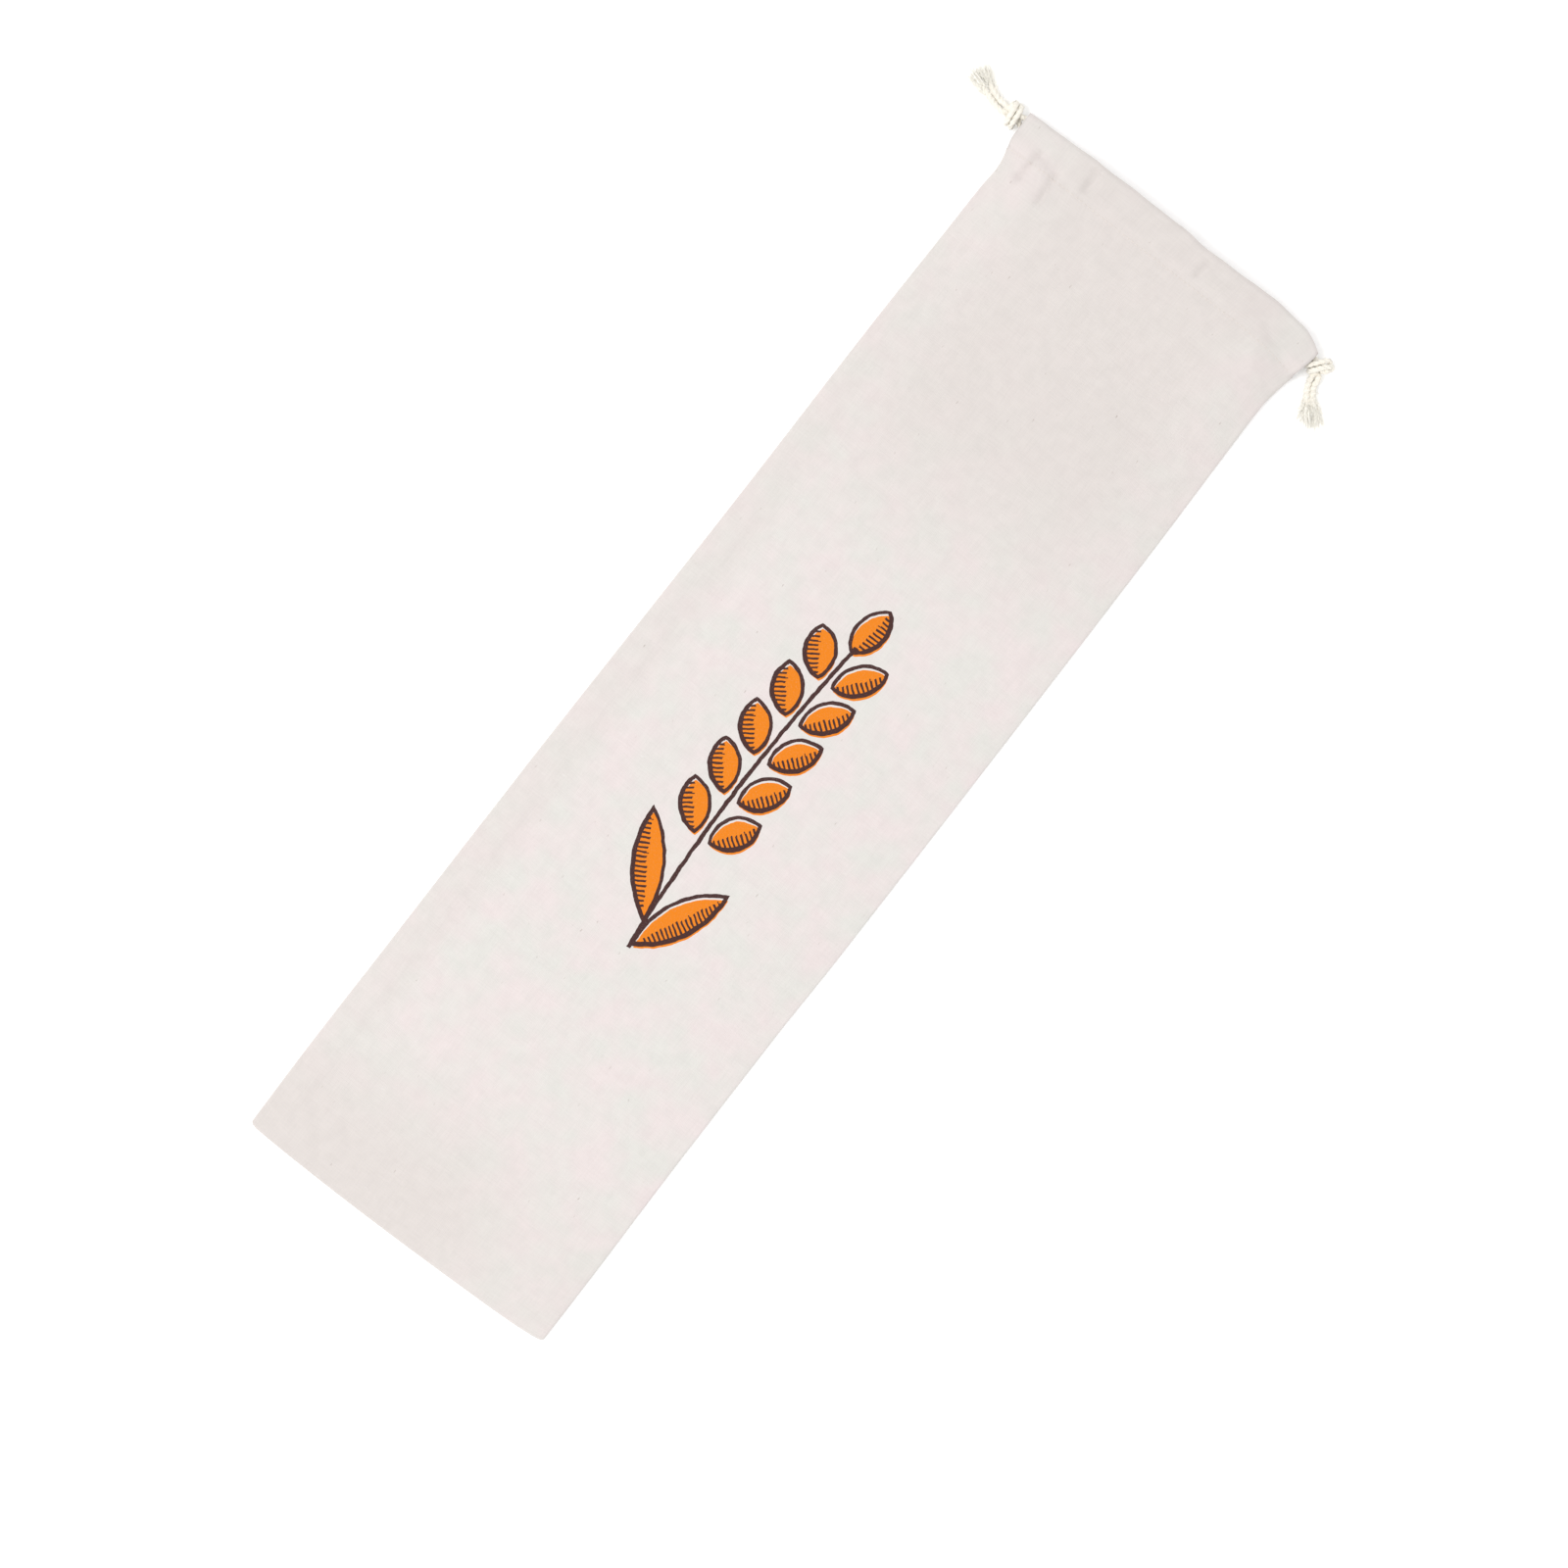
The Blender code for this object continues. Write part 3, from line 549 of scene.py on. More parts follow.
@dataclass(frozen=True)
class SprigPrint:
    """A screen print in two inks on the front panel: an ear of grain on its stalk with two leaves.

    Flat opaque ink gives the eye an orange fill that lies a little beside its dark brown outlines.
    """

    orange: str
    brown: str
    centre_x: float = -1.0
    centre_y: float = -31.0
    grain_pitch: float = 27.0
    ear_middle: float = 22.5
    ear_half: float = 67.5
    grain_long: float = 30.0
    grain_wide: float = 17.0
    grain_out: float = 14.0
    grain_tilt: float = 36.0
    leaf_long: float = 60.0
    leaf_wide: float = 18.0
    leaf_out: float = 16.0
    leaf_y: float = -80.0
    leaf_tilt: float = 30.0
    leaf_stagger: float = 7.0
    stalk_low: float = -116.0
    stalk_wide: float = 2.4
    line_wide: float = 2.1
    shadow_wide: float = 1.7
    ink_shift: tuple[float, float] = (1.6, -1.4)
    bend: float = 0.0005
    hatch_pitch: float = 2.6
    hatch_gap: float = 0.1
    hatch_reach: float = 2.1
    hatch_rough: float = 5.0
    wobble: float = 1.6
    tip_share: float = 0.38
    far_off: float = 100.0

    def over(
        self, tree: bpy.types.NodeTree, map_mm: bpy.types.Node, cloth: bpy.types.Node
    ) -> bpy.types.Node:
        """Lay both inks over the cloth's colour.

        Args:
            tree: The material's tree.
            map_mm: The cloth's map in millimetres, which is x and y on the front panel.
            cloth: The mix node that gives the bare cloth's colour.

        Returns:
            The mix node that gives the printed cloth's colour.
        """
        wobble = add_node(tree, NOISE, {"Vector": map_mm, "Scale": 0.16, "Detail": 2.0})
        moved = add_node(tree, VECTOR_MATH, (wobble.outputs["Color"], (0.5, 0.5, 0.5)), operation="SUBTRACT")
        reach = (self.wobble, self.wobble, 0.0)
        drawn = add_node(tree, VECTOR_MATH, (moved, reach, map_mm), operation="MULTIPLY_ADD")
        centred = add_node(
            tree, VECTOR_MATH, (drawn, (self.centre_x, self.centre_y, 0.0)), operation="SUBTRACT"
        )
        shifted = add_node(tree, VECTOR_MATH, (centred, (*self.ink_shift, 0.0)), operation="SUBTRACT")
        fill, _ = self.shapes(tree, shifted)
        edge, hatched = self.shapes(tree, centred)
        worn = add_node(tree, NOISE, {"Vector": map_mm, "Scale": 1.4, "Detail": 3.0})
        cover = add_node(
            tree,
            "ShaderNodeMapRange",
            {"Value": worn, "From Min": 0.3, "From Max": 0.45, "To Min": 0.9, "To Max": 1.0},
        )
        ink = add_node(tree, "ShaderNodeAttribute", attribute_name="ink")
        cover = add_node(tree, MATH, (cover, ink.outputs["Fac"]), operation="MULTIPLY")
        orange = add_node(tree, MATH, (fill, 0.0), operation="LESS_THAN")
        orange = add_node(tree, MATH, (orange, cover), operation="MULTIPLY")
        colour = add_node(
            tree, MIX, {0: orange, 6: cloth.outputs[2], 7: linear(self.orange)}, data_type="RGBA"
        )
        line = add_node(tree, MATH, (edge, 0.0, self.line_wide / 2), operation="COMPARE")
        line = add_node(tree, MATH, (line, hatched), operation="MAXIMUM")
        line = add_node(tree, MATH, (line, cover), operation="MULTIPLY")
        return add_node(
            tree, MIX, {0: line, 6: colour.outputs[2], 7: linear(self.brown)}, data_type="RGBA"
        )

    def lens(
        self, tree: bpy.types.NodeTree, at: bpy.types.Node, long: float, wide: float
    ) -> bpy.types.Node:
        """Return the distance from a pointed oval's outline: below 0 inside it.

        Args:
            tree: The material's tree.
            at: The place from the oval's middle, with X along it.
            long: Its length.
            wide: Its width.

        Returns:
            The node that gives the distance.
        """
        radius = ((long / 2) ** 2 + (wide / 2) ** 2) / wide
        folded = add_node(tree, VECTOR_MATH, (at,), operation="ABSOLUTE")
        from_centre = add_node(
            tree, VECTOR_MATH, (folded, (0.0, radius - wide / 2, 0.0)), operation="ADD"
        )
        length = add_node(tree, VECTOR_MATH, (from_centre,), operation="LENGTH")
        return add_node(tree, MATH, (length.outputs["Value"], radius), operation="SUBTRACT")

    def turned(
        self, tree: bpy.types.NodeTree, x: Any, y: Any, tilt: float
    ) -> bpy.types.Node:
        """Return a place with X along a line that leans this many degrees from the stalk."""
        spot = add_node(tree, "ShaderNodeCombineXYZ", (x, y))
        return add_node(
            tree,
            "ShaderNodeVectorRotate",
            {"Vector": spot, "Angle": math.radians(tilt - 90.0)},
            rotation_type="Z_AXIS",
        )

    def shapes(
        self, tree: bpy.types.NodeTree, at: bpy.types.Node
    ) -> tuple[bpy.types.Node, bpy.types.Node]:
        """Draw the sprig once.

        Args:
            tree: The material's tree.
            at: The place from the sprig's middle.

        Returns:
            The distance from the outlines, and 1 on the stalk, the hatching and the grains' grooves.
        """
        split = add_node(tree, "ShaderNodeSeparateXYZ", (at,))
        y = split.outputs["Y"]
        squared = add_node(tree, MATH, (y, y), operation="MULTIPLY")
        x = add_node(tree, MATH, (squared, -self.bend, split.outputs["X"]), operation="MULTIPLY_ADD")
        beside = add_node(tree, MATH, (x,), operation="ABSOLUTE")
        side = add_node(tree, MATH, (x,), operation="SIGN")

        in_row = add_node(tree, MATH, (y, self.ear_middle), operation="SUBTRACT")
        in_row = add_node(
            tree, MATH, (in_row, self.grain_pitch / 2, -self.grain_pitch / 2), operation="WRAP"
        )
        out = add_node(tree, MATH, (beside, self.grain_out), operation="SUBTRACT")
        in_grain = self.turned(tree, out, in_row, self.grain_tilt)
        grain = self.lens(tree, in_grain, self.grain_long, self.grain_wide)
        up_ear = add_node(tree, MATH, (y, self.ear_middle), operation="SUBTRACT")
        up_ear = add_node(tree, MATH, (up_ear,), operation="ABSOLUTE")
        past_ear = add_node(tree, MATH, (up_ear, self.ear_half), operation="GREATER_THAN")
        grain = add_node(tree, MATH, (past_ear, self.far_off, grain), operation="MULTIPLY_ADD")

        tip_y = self.ear_middle + self.ear_half
        over_ear = add_node(tree, MATH, (y, tip_y + self.grain_long * self.tip_share), operation="SUBTRACT")
        in_tip = self.turned(tree, x, over_ear, 0.0)
        tip = self.lens(tree, in_tip, self.grain_long, self.grain_wide)
        distance = add_node(tree, MATH, (grain, tip), operation="MINIMUM")

        leaf_side = add_node(tree, MATH, (side, self.leaf_stagger, y), operation="MULTIPLY_ADD")
        leaf_up = add_node(tree, MATH, (leaf_side, self.leaf_y), operation="SUBTRACT")
        leaf_out = add_node(tree, MATH, (beside, self.leaf_out), operation="SUBTRACT")
        in_leaf = self.turned(tree, leaf_out, leaf_up, self.leaf_tilt)
        leaf = self.lens(tree, in_leaf, self.leaf_long, self.leaf_wide)
        distance = add_node(tree, MATH, (distance, leaf), operation="MINIMUM")

        marks = []
        for at_form, form, long, wide in (
            (in_grain, grain, self.grain_long, self.grain_wide),
            (in_tip, tip, self.grain_long, self.grain_wide),
            (in_leaf, leaf, self.leaf_long, self.leaf_wide),
        ):
            marks.append(self.hatching(tree, at_form, form))
            marks.append(self.shaded_side(tree, at_form, form, long, wide))
        on_stalk = add_node(tree, MATH, (x, 0.0, self.stalk_wide / 2), operation="COMPARE")
        stalk_middle = (self.stalk_low + tip_y) / 2
        in_length = add_node(tree, MATH, (y, stalk_middle, tip_y - stalk_middle), operation="COMPARE")
        marks.append(add_node(tree, MATH, (on_stalk, in_length), operation="MULTIPLY"))
        total = marks[0]
        for mark in marks[1:]:
            total = add_node(tree, MATH, (total, mark), operation="MAXIMUM")
        return distance, total

    def shaded_side(
        self,
        tree: bpy.types.NodeTree,
        at: bpy.types.Node,
        distance: bpy.types.Node,
        long: float,
        wide: float,
    ) -> bpy.types.Node:
        """Return 1 on the crescent by which a form's lower outline is drawn thicker."""
        lifted = add_node(tree, VECTOR_MATH, (at, (0.0, -self.shadow_wide, 0.0)), operation="ADD")
        past = add_node(tree, MATH, (self.lens(tree, lifted, long, wide), 0.0), operation="GREATER_THAN")
        inside = add_node(tree, MATH, (distance, 0.0), operation="LESS_THAN")
        return add_node(tree, MATH, (past, inside), operation="MULTIPLY")

    def hatching(
        self, tree: bpy.types.NodeTree, at: bpy.types.Node, distance: bpy.types.Node
    ) -> bpy.types.Node:
        """Return 1 on short strokes in the half of a form that lies away from the light."""
        split = add_node(tree, "ShaderNodeSeparateXYZ", (at,))
        phase = add_node(
            tree, MATH, (split.outputs["X"], 2 * math.pi / self.hatch_pitch), operation="MULTIPLY"
        )
        wave = add_node(tree, MATH, (phase,), operation="SINE")
        stroke = add_node(tree, MATH, (wave, self.hatch_gap), operation="GREATER_THAN")
        rough = add_node(tree, NOISE, {"Vector": at, "Scale": 0.45})
        reach = add_node(tree, MATH, (rough, -self.hatch_rough, self.hatch_reach), operation="MULTIPLY_ADD")
        low = add_node(tree, MATH, (split.outputs["Y"], reach), operation="LESS_THAN")
        inside = add_node(tree, MATH, (distance, -self.line_wide / 2), operation="LESS_THAN")
        both = add_node(tree, MATH, (low, inside), operation="MULTIPLY")
        return add_node(tree, MATH, (both, stroke), operation="MULTIPLY")


@dataclass(frozen=True)
class CottonYarn:
    """Undyed cotton: twisted cord, or the finer thread of the sewing.

    Combed cotton gives the eye a warm cream, with soft fibres along each ply and a faint fuzz.
    """

    name: str
    base: str
    shade: str
    fibre_wide: float
    fibre_long: float
    depth: float

    def build(self) -> bpy.types.Material:
        """Return the yarn's material, which reads the piece's own map in metres."""
        material = bpy.data.materials.new(self.name)
        material.use_nodes = True
        tree = material.node_tree
        shader = tree.nodes["Principled BSDF"]
        map_metres = add_node(tree, "ShaderNodeUVMap", uv_map="weave")
        scale = (1 / (self.fibre_wide * MM), 1 / (self.fibre_long * MM), 1.0)
        along = add_node(tree, "ShaderNodeMapping", {"Vector": map_metres, "Scale": scale})
        fibres = add_node(tree, NOISE, {"Vector": along, "Scale": 1.0, "Detail": 4.0, "Roughness": 0.65})
        tint = add_node(tree, "ShaderNodeMapRange", {"Value": fibres, "From Min": 0.3, "From Max": 0.62})
        colour = add_node(
            tree, MIX, {0: tint, 6: linear(self.shade), 7: linear(self.base)}, data_type="RGBA"
        )
        tree.links.new(colour.outputs[2], shader.inputs["Base Color"])
        relief = add_node(
            tree, "ShaderNodeBump", {"Strength": 0.6, "Distance": self.depth * MM, "Height": fibres}
        )
        tree.links.new(relief.outputs[0], shader.inputs["Normal"])
        shader.inputs["Roughness"].default_value = 0.85
        shader.inputs["Specular IOR Level"].default_value = 0.3
        shader.inputs["Sheen Weight"].default_value = 0.35
        shader.inputs["Sheen Roughness"].default_value = 0.6
        return material


@dataclass(frozen=True)
class ClothSizes:
    """The folded cloth's sizes in millimetres."""

    thick: float = 0.8
    side_column: float = 100.0
    column_step: float = 2.0
    bottom_y: float = -353.0
    last_row: float = -350.0
    stitch_y: float = 326.4
    fine_to_y: float = 246.4
    fine_row: float = 2.5
    coarse_row: float = 5.0
    edge_fold_radius: float = 1.0
    mouth_fold_radius: float = 2.6
    mouth_rise_from_y: float = 250.0
    fold_steps: int = 8
    edge_ease_share: float = 1 / 12
    bottom_ease: float = 30.0
    mouth_shape_from_y: float = 190.0
    bottom_edge_reach: float = 90.0
    stitch_line_reach: float = 70.0
    tunnel_height: float = 4.5
    hem_gap: float = 1.5
    hem_pinch_share: float = 0.34
    hem_end_column: float = 88.0
    casing_puff: float = 0.6
    end_drop: float = 1.0
    front_lag: float = 1.0
    side_gap: float = 1.5
    mouth_gap: float = 6.2
    mouth_flat_x: float = 48.0
    mouth_closed_x: float = 90.0
    panel_flat_x: float = 74.0
    panel_closed_x: float = 104.0
    casing_steps: int = 12
    hem_steps: int = 9
    seam_allowance_x: float = -84.0
    seam_allowance_rise: float = 0.45
    seam_allowance_ease: float = 2.0
    seam_nick: float = 0.2
    seam_nick_wide: float = 0.3
    gather_depth: float = 1.9
    gather_width: float = 0.8
    unevenness: float = 0.24
    uneven_base: float = 0.75
    uneven_mouth_gain: float = 0.9
    uneven_from_y: float = 60.0
    uneven_ease: float = 200.0
    broad_rise: tuple[float, float] = (17.0, 26.0)
    small_rise: tuple[float, float] = (6.0, 9.0)
    small_share: float = 0.3
    top_wave: float = 0.5
    top_wave_long: float = 13.0
    top_wave_shift: float = 0.2
    top_wave_to_x: float = 84.0
    top_wave_ease: float = 10.0
    stitch_groove: float = 0.2
    stitch_groove_wide: float = 1.6
    back_groove: float = 0.5
    seam_draw_in: float = 0.9
    seam_draw_reach: float = 14.0
    pucker: float = 0.34
    pucker_wide: float = 5.2
    pucker_long: float = 40.0
    pucker_reach: float = 13.0
    past_stitches: float = 40.0

    @property
    def half_thick(self) -> float:
        """Half the cloth's thickness."""
        return self.thick / 2


class BagForm:
    """The cloth's middle surface: one strip from the back hem, round the bottom fold, to the front hem."""

    def __init__(self, sizes: ClothSizes) -> None:
        """Keep the sizes and work out the rows and columns."""
        self.size = sizes
        count = round(sizes.side_column / sizes.column_step)
        self.columns = [sizes.column_step * n for n in range(-count, count + 1)]
        self.rows = [sizes.stitch_y]
        while self.rows[-1] - sizes.coarse_row > sizes.last_row:
            fine = self.rows[-1] > sizes.fine_to_y
            self.rows.append(self.rows[-1] - (sizes.fine_row if fine else sizes.coarse_row))
        self.rows.append(sizes.last_row)
        self.casing_shares = [n / sizes.casing_steps for n in range(sizes.casing_steps + 1)]
        self.hem_shares = [1 - n / sizes.hem_steps for n in range(sizes.hem_steps + 1)]
        self.fold_angles = [math.pi * n / sizes.fold_steps for n in range(1, sizes.fold_steps)]
        self.back_start = len(self.hem_shares) + len(self.fold_angles) + len(self.casing_shares) - 1

    def across(self, column: float, y: float) -> float:
        """Return the x of a column at a place along the bag."""
        left, right = read(SIDES, "left", y), read(SIDES, "right", y)
        return (left + right) / 2 + column / self.size.side_column * (right - left) / 2

    def creases(self, x: float, y: float) -> float:
        """Return how deep the gathers press the front at a place."""
        total = 0.0
        for crease in GATHERS:
            run = Vector((crease.foot_x - crease.head_x, crease.foot_y - crease.head_y))
            off = Vector((x - crease.head_x, y - crease.head_y))
            along = min(1.0, max(0.0, off.dot(run) / run.length_squared))
            width = crease.width * self.size.gather_width
            total += crease.depth * math.exp(-(((off - run * along).length / width) ** 2))
        return total * self.size.gather_depth

    def swells(self, x: float, y: float) -> float:
        """Return the front panel's broad rises and hollows at a place."""
        return sum(
            s.height * math.exp(-(((x - s.x) / s.reach_x) ** 2) - ((y - s.y) / s.reach_y) ** 2)
            for s in SWELLS
        )

    def unevenness(self, x: float, y: float) -> float:
        """Return the small rises and hollows that washing leaves, with puckers beside the stitching."""
        size = self.size
        broad = noise.noise(Vector((x / size.broad_rise[0], y / size.broad_rise[1], 3.7)))
        small = noise.noise(Vector((x / size.small_rise[0], y / size.small_rise[1], 9.1)))
        away = abs(y - read(STITCH_LINE, "y", x))
        gathered = noise.noise(Vector((x / size.pucker_wide, y / size.pucker_long, 21.3)))
        pulled = gathered * math.exp(-away / size.pucker_reach)
        groove = size.stitch_groove * math.exp(-((away / size.stitch_groove_wide) ** 2))
        toward_mouth = ease((y - size.uneven_from_y) / size.uneven_ease)
        gain = size.uneven_base + size.uneven_mouth_gain * toward_mouth
        return size.unevenness * gain * (broad + size.small_share * small) + size.pucker * pulled - groove

    def mouth_lift(self, x: float) -> float:
        """Return how open the mouth stands: 1 in its middle and 0 at its ends."""
        size = self.size
        return 1 - ease((abs(x) - size.mouth_flat_x) / (size.mouth_closed_x - size.mouth_flat_x))

    def panel_lift(self, x: float) -> float:
        """Return how high the front panel stands at the mouth: 1 in its middle and 0 at its sides."""
        size = self.size
        return 1 - ease((abs(x) - size.panel_flat_x) / (size.panel_closed_x - size.panel_flat_x))

    def fold_radius(self, y: float) -> float:
        """Return the side fold's radius, which grows toward the mouth."""
        size = self.size
        share = ease((y - size.mouth_rise_from_y) / (size.stitch_y - size.mouth_rise_from_y))
        return size.edge_fold_radius + (size.mouth_fold_radius - size.edge_fold_radius) * share

    def side_radius(self, y: float) -> float:
        """Return how far the side fold bulges outward, drawn in where the stitching ends."""
        size = self.size
        drawn = ease(1 - (size.stitch_y - y) / size.seam_draw_reach)
        return self.fold_radius(y) * (1 - size.seam_draw_in * drawn)

    def back_height(self, x: float, y: float) -> float:
        """Return the height of the back panel's middle surface, which rises a little at its stitches."""
        size = self.size
        away = (y - read(STITCH_LINE, "y", x)) / size.stitch_groove_wide
        return size.half_thick + size.back_groove * math.exp(-(away**2))

    def front_height(self, x: float, y: float, nominal_y: float) -> float:
        """Return the height of the front panel's middle surface below the stitch line."""
        size = self.size
        flat = size.half_thick + 2 * self.fold_radius(nominal_y)
        inward = min(1.0, abs(x) / size.side_column)
        shaped_along = size.stitch_y - size.mouth_shape_from_y
        toward_mouth = ease((nominal_y - size.mouth_shape_from_y) / shaped_along)
        shape = (1 - inward**4) * (1 - toward_mouth) + self.panel_lift(x) * toward_mouth
        off_edge = ease((1 - inward) / size.edge_ease_share)
        off_bottom = ease((nominal_y - size.bottom_y) / size.bottom_ease)
        seam = size.seam_allowance_rise * ease((size.seam_allowance_x - x) / size.seam_allowance_ease + 0.5)
        relief = self.swells(x, y) - self.creases(x, y) + seam + self.unevenness(x, y)
        return flat + read(CROWN, "height", nominal_y) * shape + relief * off_edge * off_bottom

    def stitch_height(self, x: float) -> float:
        """Return the height of the front panel at the stitch line."""
        return self.front_height(x, read(STITCH_LINE, "y", x), self.size.stitch_y)

    def front_hem_height(self, x: float) -> float:
        """Return the height of the front hem, the lower layer of the front casing."""
        size = self.size
        back_hem = size.half_thick + size.tunnel_height
        return back_hem + size.side_gap + (size.mouth_gap - size.side_gap) * self.mouth_lift(x)

    def top_fold_y(self, x: float) -> float:
        """Return the place of the top fold's middle."""
        size = self.size
        fading = 1 - ease((abs(x) - size.top_wave_to_x) / size.top_wave_ease)
        swing = noise.noise(Vector((x / size.top_wave_long, 2.9, 5.1))) - size.top_wave_shift
        wave = size.top_wave * swing * fading
        return read(TOP_EDGE, "y", x) - size.half_thick - size.tunnel_height / 2 + wave

    def casing_y(self, x: float, share: float) -> float:
        """Return how far up a share of the casing's depth lies."""
        stitched = read(STITCH_LINE, "y", x)
        return stitched + share * (self.top_fold_y(x) - stitched)

    def casing_heights(self, x: float, share: float, layer: Layer) -> tuple[float, float]:
        """Return the heights of a casing's outer layer and of its hem at a share of its depth."""
        size = self.size
        opened = ease(share / size.hem_pinch_share)
        if layer is Layer.BACK:
            low = size.half_thick
            outer = self.back_height(x, self.casing_y(x, share))
            return outer, low + size.hem_gap + (size.tunnel_height - size.hem_gap) * opened
        low = self.stitch_height(x) - size.hem_gap
        hem = low + (self.front_hem_height(x) - low) * opened
        y = self.casing_y(x, share)
        puff = size.casing_puff - self.creases(x, y) + self.unevenness(x, y)
        past_hem = ease((abs(x) - size.hem_end_column) / (size.side_column - size.hem_end_column))
        full = self.front_hem_height(x) + size.tunnel_height + puff - size.end_drop * past_hem
        return self.stitch_height(x) + (full - self.stitch_height(x)) * opened, hem

    def body_y(self, x: float, nominal_y: float) -> float:
        """Return how far up a row of the body lies, with the bottom edge and the stitch line uneven."""
        size = self.size
        bottom = 1 - ease((nominal_y - size.bottom_y) / size.bottom_edge_reach)
        top = 1 - ease((size.stitch_y - nominal_y) / size.stitch_line_reach)
        from_bottom = bottom * (read(BOTTOM_EDGE, "y", x) - size.bottom_y)
        return nominal_y + from_bottom + top * (read(STITCH_LINE, "y", x) - size.stitch_y)

    def body_point(self, column: float, nominal_y: float, layer: Layer) -> Vector:
        """Return a point of the front or back panel."""
        inset = column / self.size.side_column * self.side_radius(nominal_y)
        x = self.across(column, nominal_y) - inset
        y = self.body_y(x, nominal_y)
        front = layer is Layer.FRONT
        return Vector((x, y, self.front_height(x, y, nominal_y) if front else self.back_height(x, y)))

    def casing_point(self, column: float, share: float, layer: Layer, hem: bool) -> Vector:
        """Return a point of a casing's outer layer or of its hem."""
        size = self.size
        nominal_y = size.stitch_y + share * (read(TOP_EDGE, "y", column) - size.stitch_y)
        pinched = 1 - ease(share / size.hem_pinch_share)
        inset = column / size.side_column * self.side_radius(size.stitch_y) * pinched
        x = self.across(column, nominal_y) - inset
        lag = size.front_lag * share if layer is Layer.FRONT else 0.0
        outer_height, hem_height = self.casing_heights(x, share, layer)
        return Vector((x, self.casing_y(x, share) - lag, hem_height if hem else outer_height))

    def top_fold_point(self, column: float, angle: float, layer: Layer) -> Vector:
        """Return a point of the fold at the mouth, from the outer layer at 0 to the hem at pi."""
        outer = self.casing_point(column, 1.0, layer, False)
        hem = self.casing_point(column, 1.0, layer, True)
        middle, half = (outer + hem) / 2, (outer.z - hem.z) / 2
        y = middle.y + self.size.tunnel_height / 2 * math.sin(angle)
        return Vector((outer.x, y, middle.z + half * math.cos(angle)))

    def bottom_fold_point(self, column: float, angle: float) -> Vector:
        """Return a point of the fold at the bottom, from the back panel at 0 to the front at pi."""
        back = self.body_point(column, self.size.last_row, Layer.BACK)
        front = self.body_point(column, self.size.last_row, Layer.FRONT)
        half, middle = (front.z - back.z) / 2, (back.z + front.z) / 2
        return Vector((back.x, back.y - half * math.sin(angle), middle - half * math.cos(angle)))

    def strip(self, column: float) -> list[Vector]:
        """Return one column of the cloth, from the back hem round the bottom fold to the front hem."""
        back, front, folds = Layer.BACK, Layer.FRONT, self.fold_angles
        points = [self.casing_point(column, share, back, True) for share in reversed(self.hem_shares)]
        points += [self.top_fold_point(column, angle, back) for angle in reversed(folds)]
        down_casing = reversed(self.casing_shares[1:])
        points += [self.casing_point(column, share, back, False) for share in down_casing]
        points += [self.body_point(column, y, back) for y in self.rows]
        points += [self.bottom_fold_point(column, angle) for angle in folds]
        points += [self.body_point(column, y, front) for y in reversed(self.rows)]
        points += [self.casing_point(column, share, front, False) for share in self.casing_shares[1:]]
        points += [self.top_fold_point(column, angle, front) for angle in folds]
        points += [self.casing_point(column, share, front, True) for share in self.hem_shares]
        return points

    def strip_lengths(self, points: Sequence[Vector]) -> list[float]:
        """Return how far along the strip its points lie, as y on the front panel."""
        along = [0.0]
        for before, after in zip(points, points[1:]):
            along.append(along[-1] + (after - before).length)
        first_front = self.back_start + len(self.rows) + len(self.fold_angles)
        shift = self.size.last_row - along[first_front]
        return [length + shift for length in along]

    def side_ring(self, column: float, nominal_y: float) -> list[Vector]:
        """Return the points of a side seam's round edge, nicked in its middle where the panels meet."""
        back = self.body_point(column, nominal_y, Layer.BACK)
        front = self.body_point(column, nominal_y, Layer.FRONT)
        outward = math.copysign(self.side_radius(nominal_y), column)
        half, middle = (front.z - back.z) / 2, (front.z + back.z) / 2
        points = []
        for angle in self.fold_angles:
            off_middle = (angle - math.pi / 2) / self.size.seam_nick_wide
            nick = 1 - self.size.seam_nick * math.exp(-(off_middle**2))
            x = back.x + outward * math.sin(angle) * nick
            points.append(Vector((x, back.y, middle - half * math.cos(angle))))
        return points


